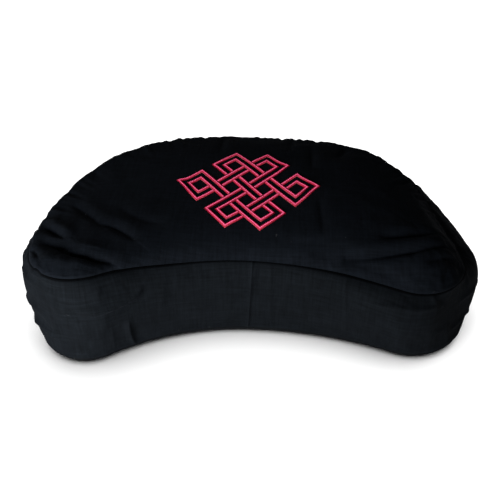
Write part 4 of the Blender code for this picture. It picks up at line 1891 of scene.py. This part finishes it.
@dataclass(frozen=True)
class KnotChart:
    """The rule of the endless knot: strands each way that weave and bend into one loop.

    Attributes:
        half: Half the width of a strand, in pitches.
        line: Width of its stitched outline, in pitches.
        last: Number of the last strand.
        runs: For each strand, the stretches that it covers. Both ways have the same.
    """

    half: float
    line: float
    last: int = 4
    runs: tuple[tuple[tuple[int, int], ...], ...] = (
        ((0, 1), (2, 3)),
        ((0, 4),),
        ((0, 4),),
        ((0, 4),),
        ((1, 2), (3, 4)),
    )

    def covers(self, strand: int, start: int) -> bool:
        """Tells whether a strand runs from this crossing line to the next one."""
        inside = 0 <= strand <= self.last
        return inside and any(first <= start < last for first, last in self.runs[strand])

    def bend(self, strand: int, place: int) -> int:
        """Returns the way, 1 or -1, in which the loop goes on where a strand's run ends."""
        return 1 if self.covers(place, strand) else -1

    def is_over(self, way: Way, strand: int, place: int) -> bool:
        """Tells whether a strand is the upper one where it crosses another."""
        return ((strand + place) % 2 == 0) == (way is Way.ALONG)

    def lines(self) -> list[SatinLine]:
        """Lists the stretches of outline of every strand.

        Returns:
            The stretches, strand by strand.
        """
        found = []
        for way in Way:
            for strand, runs in enumerate(self.runs):
                for run in runs:
                    for side in (-1, 1):
                        found.extend(self._lines_of(way, strand, run, side))
        return found

    def _lines_of(self, way: Way, strand: int, run: tuple[int, int], side: int) -> list[SatinLine]:
        """Lists the stretches of one outline.

        Args:
            way: Which way the strand runs.
            strand: Its number.
            run: The crossing lines where the run starts and ends.
            side: On which side of the strand the outline lies, -1 or 1.

        Returns:
            The stretches, mitred where the strand bends and square where it dives under.
        """
        core, edge = self.half - self.line, self.half
        start_way = 1 if self.bend(strand, run[0]) == side else -1
        end_way = 1 if self.bend(strand, run[1]) == side else -1
        starts = [(run[0] + start_way * core, run[0] + start_way * edge)]
        ends = []
        for place in range(run[0] + 1, run[1]):
            if not self.is_over(way, strand, place):
                ends.append((place - edge, place - edge))
                starts.append((place + edge, place + edge))
        ends.append((run[1] - end_way * core, run[1] - end_way * edge))
        sides = (strand + side * core, strand + side * edge)
        lines = []
        for start, end in zip(starts, ends):
            near = (self._place(way, sides[0], start[0]), self._place(way, sides[0], end[0]))
            far = (self._place(way, sides[1], start[1]), self._place(way, sides[1], end[1]))
            lines.append(SatinLine(near, far))
        return lines

    @staticmethod
    def _place(way: Way, strand: float, place: float) -> tuple[float, float]:
        """Returns (across, along) of a place on a strand."""
        return (strand, place) if way is Way.ALONG else (place, strand)


@dataclass(frozen=True)
class DrawnTip:
    """A corner of the knot that the stitching has drawn out to a point.

    Attributes:
        place: The corner on the chart, (across, along) in pitches.
        move: How far its point is drawn on the plan.
        reach: How far from it the strands bend, across and along the chart, in pitches.
    """

    place: tuple[float, float]
    move: tuple[float, float]
    reach: tuple[float, float]

    def pull(self, places: Array) -> Array:
        """Returns how far the tip moves these places of the chart, on the plan."""
        gaps = (places - np.array(self.place)) / np.array(self.reach)
        return np.array(self.move) * np.exp(-(gaps**2).sum(axis=-1, keepdims=True))


@dataclass
class KnotEmbroidery:
    """The satin-stitched knot, thread by thread on the crown.

    Attributes:
        form: The cushion's main form.
        middle: Where the knot's middle lies on the plan.
        turn: How far its chart is turned.
        pitch: Spacing of its strands.
        strand: Width of a strand over its outlines.
        line: Width of an outline.
        height: How high the threads arch over the cloth.
        thread: Thickness of a thread as it lies.
        sunk: How far the ends of a thread dip into the cloth.
        across: Steps along one thread.
        arch_power: How square a thread's arch is; 2 is round.
        side_share: Half the breadth of a thread, as a share of its thickness.
        side_drop: How far its sides lie below its middle, as a share of its thickness.
        crest: Half the part of a thread that carries the painted highlight, as a share of its length.
        dye_share: How far the threads differ in tone, as a share.
        dye_waves: The waves, in radians from thread to thread, that vary it.
        tips: The corners that are drawn out.
    """

    form: CushionForm
    middle: Place = KNOT_MIDDLE
    turn: float = math.radians(42.4)
    pitch: float = 0.0231
    strand: float = 0.0115
    line: float = 0.0038
    height: float = 0.0011
    thread: float = 0.00042
    sunk: float = 0.0004
    across: int = 8
    arch_power: float = 2.2
    side_share: float = 0.54
    side_drop: float = 0.42
    crest: float = 0.17
    dye_share: float = 0.1
    dye_waves: tuple[float, float] = (12.9898, 4.1414)
    tips: tuple[DrawnTip, ...] = (
        DrawnTip((-0.22, -0.22), move=(0.0000, 0.0052), reach=(0.38, 1.00)),
        DrawnTip((4.22, 4.22), move=(0.0001, 0.0062), reach=(0.90, 0.90)),
        DrawnTip((4.22, 2.22), move=(0.0007, 0.0040), reach=(0.42, 0.42)),
        DrawnTip((-0.22, 3.22), move=(-0.0012, 0.0024), reach=(0.70, 0.70)),
        DrawnTip((0.78, 4.22), move=(0.0000, 0.0024), reach=(0.70, 0.70)),
    )

    def on_plan(self, places: Array) -> Array:
        """Moves places of the chart to the plan on the floor.

        Args:
            places: Places of the chart, in pitches.

        Returns:
            Places of the plan, in metres.
        """
        from_middle = places - KnotChart.last / 2
        right, back = from_middle[..., 0], from_middle[..., 1]
        cosine, sine = math.cos(self.turn), math.sin(self.turn)
        offset = np.stack([cosine * right + sine * back, sine * right - cosine * back], axis=-1)
        drawn = sum(tip.pull(places) for tip in self.tips)
        return self.form.on_floor(np.array(self.middle) + self.pitch * offset + drawn)

    def stitches(self) -> Array:
        """Lays the threads side by side along every stretch of outline.

        Returns:
            The threads' two ends on the plan: threads by 2 by 2.
        """
        chart = KnotChart(half=self.strand / self.pitch / 2, line=self.line / self.pitch)
        ends = []
        for line in chart.lines():
            near, far = np.array(line.near), np.array(line.far)
            length = (np.linalg.norm(near[1] - near[0]) + np.linalg.norm(far[1] - far[0])) / 2
            count = max(2, round(length * self.pitch / self.thread))
            shares = ((np.arange(count) + 0.5) / count)[:, None]
            pairs = [edge[0] + (edge[1] - edge[0]) * shares for edge in (near, far)]
            ends.append(self.on_plan(np.stack(pairs, axis=1)))
        return np.concatenate(ends)

    def add(self, finish: ThreadFinish, cloth: bpy.types.Object) -> bpy.types.Object:
        """Makes the embroidery.

        Args:
            finish: The thread that it is stitched with.
            cloth: The piece that carries it.

        Returns:
            The piece.
        """
        crown = BVHTree.FromPolygons(
            [vertex.co for vertex in cloth.data.vertices],
            [polygon.vertices for polygon in cloth.data.polygons],
        )
        ends = self.stitches()
        shares = np.linspace(0, 1, self.across + 1)
        places = ends[:, :1] + (ends[:, 1:] - ends[:, :1]) * shares[:, None]
        above = 2 * self.form.crest_height
        heights = np.array(
            [crown.ray_cast((x, y, above), (0, 0, -1))[0].z for x, y in places.reshape(-1, 2)]
        ).reshape(places.shape[:2])
        arch = np.sqrt(np.maximum(0, 1 - np.abs(2 * shares - 1) ** self.arch_power))
        heights = heights + self.height * arch - self.sunk * (1 - arch)
        along = ends[:, 1] - ends[:, 0]
        length = np.linalg.norm(along, axis=1, keepdims=True)
        sideways = np.stack([-along[:, 1], along[:, 0]], axis=1) / length
        sideways = sideways * self.thread * self.side_share
        mesh = self._threads(places, heights, sideways, shares, length[:, 0])
        return add_piece(mesh, finish, "crimson_thread", "knot_embroidery")

    def _threads(
        self, places: Array, heights: Array, sideways: Array, shares: Array, length: Array
    ) -> bpy.types.Mesh:
        """Makes the mesh of all threads, each a low ridge of three lines of points.

        Args:
            places: Points along each thread on the plan, threads by steps by 2.
            heights: Their heights.
            sideways: From each thread's middle line to its side.
            shares: Share of a thread's length at each step.
            length: Length of each thread.

        Returns:
            The mesh, with each point's place on its thread and its tone: a painted highlight on the
            crest, mixed with random dye.
        """
        count, steps = heights.shape
        points = np.empty((count, steps, 3, 3))
        for line, side in enumerate((-1, 0, 1)):
            points[:, :, line, :2] = places + side * sideways[:, None, :]
            points[:, :, line, 2] = heights - abs(side) * self.thread * self.side_drop
        number = np.arange(points[..., 0].size).reshape(count, steps, 3)
        mesh = new_mesh("knot_satin", points, quads_of(number))
        thread_places = np.zeros(points.shape)
        thread_places[..., 0] = (length[:, None] * shares)[..., None]
        thread_places[..., 1] = np.array([-1, 0, 1]) * self.thread / 2
        first, second = (np.arange(count) * wave for wave in self.dye_waves)
        dyed = 0.5 + 0.5 * np.sin(first) * np.cos(second)
        # A painted highlight along each thread's middle.
        crest = np.exp(-(((shares - 0.5) / self.crest) ** 2))
        tones = (1 - self.dye_share) * crest[None, :] + self.dye_share * dyed[:, None]
        set_places(mesh, THREAD_PLACE, thread_places)
        set_tones(mesh, THREAD_DYE_AND_HIGHLIGHT, np.repeat(tones[..., None], 3, axis=2))
        return mesh


# ----- Studio -----


def towards(azimuth: float, elevation: float) -> Vector:
    """Works out the direction in which something stands, as seen from the cushion.

    Args:
        azimuth: In degrees: 0 in front, 90 to the right, 180 behind.
        elevation: In degrees above the floor.

    Returns:
        The direction, of length 1.
    """
    around, up = math.radians(azimuth), math.radians(elevation)
    level = math.cos(up)
    return Vector((math.sin(around) * level, -math.cos(around) * level, math.sin(up)))


@dataclass(frozen=True)
class SoftLight:
    """A square soft light that looks at the cushion.

    Attributes:
        name: Its name.
        azimuth: Where it stands, in degrees.
        elevation: How high it stands, in degrees.
        distance: From the cushion's middle.
        size: Length of its side.
        power: In watts.
    """

    name: str
    azimuth: float
    elevation: float
    distance: float
    size: float
    power: float

    def add(self, target: Vector) -> bpy.types.Object:
        """Adds the light.

        Args:
            target: The point that it is turned to.

        Returns:
            The light.
        """
        data = bpy.data.lights.new(self.name, "AREA")
        data.size = self.size
        data.energy = self.power
        light = bpy.data.objects.new(self.name, data)
        back = towards(self.azimuth, self.elevation)
        light.location = target + self.distance * back
        light.rotation_euler = back.to_track_quat("Z", "Y").to_euler()
        bpy.context.scene.collection.objects.link(light)
        return light


@dataclass(frozen=True)
class Studio:
    """A plain white floor under soft light, and the photograph's view.

    Attributes:
        target: The point that the camera looks at.
        elevation: How high the camera stands, in degrees.
        azimuth: How far it stands to the right, in degrees.
        distance: From the camera to the target.
        roll: How far it leans, in degrees.
        focal_share: Focal length as a share of the picture's width.
        sensor: Width of the camera's sensor, in millimetres.
        floor_size: Length of the floor's side.
        floor_gap: How far the floor lies under the cushion.
        key: The main light, low at the front left, which falls on the cushion alone.
        wash: The light over the floor, which falls on the floor alone.
        back: The weak light behind the cushion, which falls on the cushion alone.
        glow: The light that brings out the satin stitches, which falls on them alone.
        ambient: Strength of the light all around.
    """

    target: tuple[float, float, float] = (-0.0078, -0.0090, 0.06)
    elevation: float = 39.9
    azimuth: float = 2.0
    distance: float = 0.785
    roll: float = 0.2
    focal_share: float = 1.483
    sensor: float = 36.0
    floor_size: float = 6.0
    floor_gap: float = 0.0003
    key: SoftLight = SoftLight("key", -31, 9.5, distance=0.65, size=0.3, power=4.1)
    wash: SoftLight = SoftLight("floor_wash", 0, 90, distance=1.5, size=2.4, power=76)
    back: SoftLight = SoftLight("back_fill", -140, 35, distance=1.8, size=0.9, power=2.9)
    glow: SoftLight = SoftLight("thread_glow", -15, 55, distance=1.2, size=0.5, power=12)
    ambient: float = 0.037

    def add(self, finish: FloorFinish, cover: list[bpy.types.Object], knot: bpy.types.Object) -> None:
        """Adds the floor, the lights and the camera.

        Args:
            finish: The floor's finish.
            cover: The cover's pieces.
            knot: The embroidery.
        """
        floor = self._floor(finish)
        target = Vector(self.target)
        self._shine(self.key.add(target), [*cover, knot])
        self._shine(self.back.add(target), [*cover, knot])
        self._shine(self.glow.add(target), [knot])
        self._shine(self.wash.add(target), [floor])
        self._world()
        self._camera(target)

    @staticmethod
    def _shine(light: bpy.types.Object, receivers: list[bpy.types.Object]) -> None:
        """Lets a light fall on some objects alone.

        Args:
            light: The light.
            receivers: The objects that it lights.
        """
        group = bpy.data.collections.new(f"lit_by_{light.name}")
        for receiver in receivers:
            group.objects.link(receiver)
        light.light_linking.receiver_collection = group

    def _floor(self, finish: FloorFinish) -> bpy.types.Object:
        """Adds the floor, just under the cushion.

        Args:
            finish: The floor's finish.

        Returns:
            The floor.
        """
        half = self.floor_size / 2
        signs = ((-1, -1), (1, -1), (1, 1), (-1, 1))
        corners = [(x * half, y * half, -self.floor_gap) for x, y in signs]
        mesh = bpy.data.meshes.new("floor")
        mesh.from_pydata(corners, [], [(0, 1, 2, 3)])
        mesh.materials.append(finish.material())
        floor = bpy.data.objects.new("floor", mesh)
        bpy.context.scene.collection.objects.link(floor)
        return floor

    def _world(self) -> None:
        """Sets the light all around."""
        world = bpy.data.worlds.new("studio")
        world.use_nodes = True
        background = world.node_tree.nodes["Background"]
        background.inputs["Color"].default_value = (1.0, 1.0, 1.0, 1.0)
        background.inputs["Strength"].default_value = self.ambient
        bpy.context.scene.world = world
        bpy.context.scene.view_settings.view_transform = "Standard"

    def _camera(self, target: Vector) -> None:
        """Adds the camera at the photograph's angle.

        Args:
            target: Where it looks.
        """
        data = bpy.data.cameras.new("view")
        data.sensor_width = self.sensor
        data.lens = self.sensor * self.focal_share
        camera = bpy.data.objects.new("view", data)
        back = towards(self.azimuth, self.elevation)
        right = Vector((0, 0, 1)).cross(back).normalized()
        turned = Matrix((right, back.cross(right), back)).transposed().to_4x4()
        turned.translation = target + self.distance * back
        camera.matrix_world = turned @ Matrix.Rotation(math.radians(self.roll), 4, "Z")
        bpy.context.scene.collection.objects.link(camera)
        bpy.context.scene.camera = camera


# ----- The whole scene -----

# One black cotton; the top's copy is tinted bluer as painted cool light from above.
TOP_COTTON_PAINTED_COOL_LIGHT = CottonFinish(
    "top_cotton_painted_cool_light", dark=(0.0042, 0.0061, 0.0094, 1.0), faded=(0.0063, 0.0087, 0.0131, 1.0)
)
BAND_COTTON = CottonFinish(
    "band_cotton", dark=(0.0048, 0.0065, 0.0087, 1.0), faded=(0.0072, 0.0095, 0.0125, 1.0)
)
BASE_COTTON = CottonFinish(
    "base_cotton", dark=(0.0050, 0.0060, 0.0074, 1.0), faded=(0.0072, 0.0087, 0.0106, 1.0)
)
# deep is painted shade where the threads dive in, bright a painted highlight on their crests.
CRIMSON = ThreadFinish(
    "crimson_satin",
    deep=(0.24, 0.001, 0.012, 1.0),
    body=(0.88, 0.026, 0.115, 1.0),
    bright=(1.0, 0.250, 0.520, 1.0),
)


def main() -> None:
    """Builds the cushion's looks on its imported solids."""
    logging.basicConfig(level=logging.INFO, format="%(name)s: %(message)s")
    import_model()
    form = CushionForm()
    settling = ClothSettling()
    cover = settling.run(form)
    top = TopPanel(form=form, cover=cover).add(TOP_COTTON_PAINTED_COOL_LIGHT)
    band = SideBand(form=form, cover=cover).add(BAND_COTTON)
    base = BasePanel(form=form).add(BASE_COTTON)
    knot = KnotEmbroidery(form).add(CRIMSON, top)
    Studio().add(FloorFinish(), [top, band, base], knot)


if __name__ == "__main__":
    main()
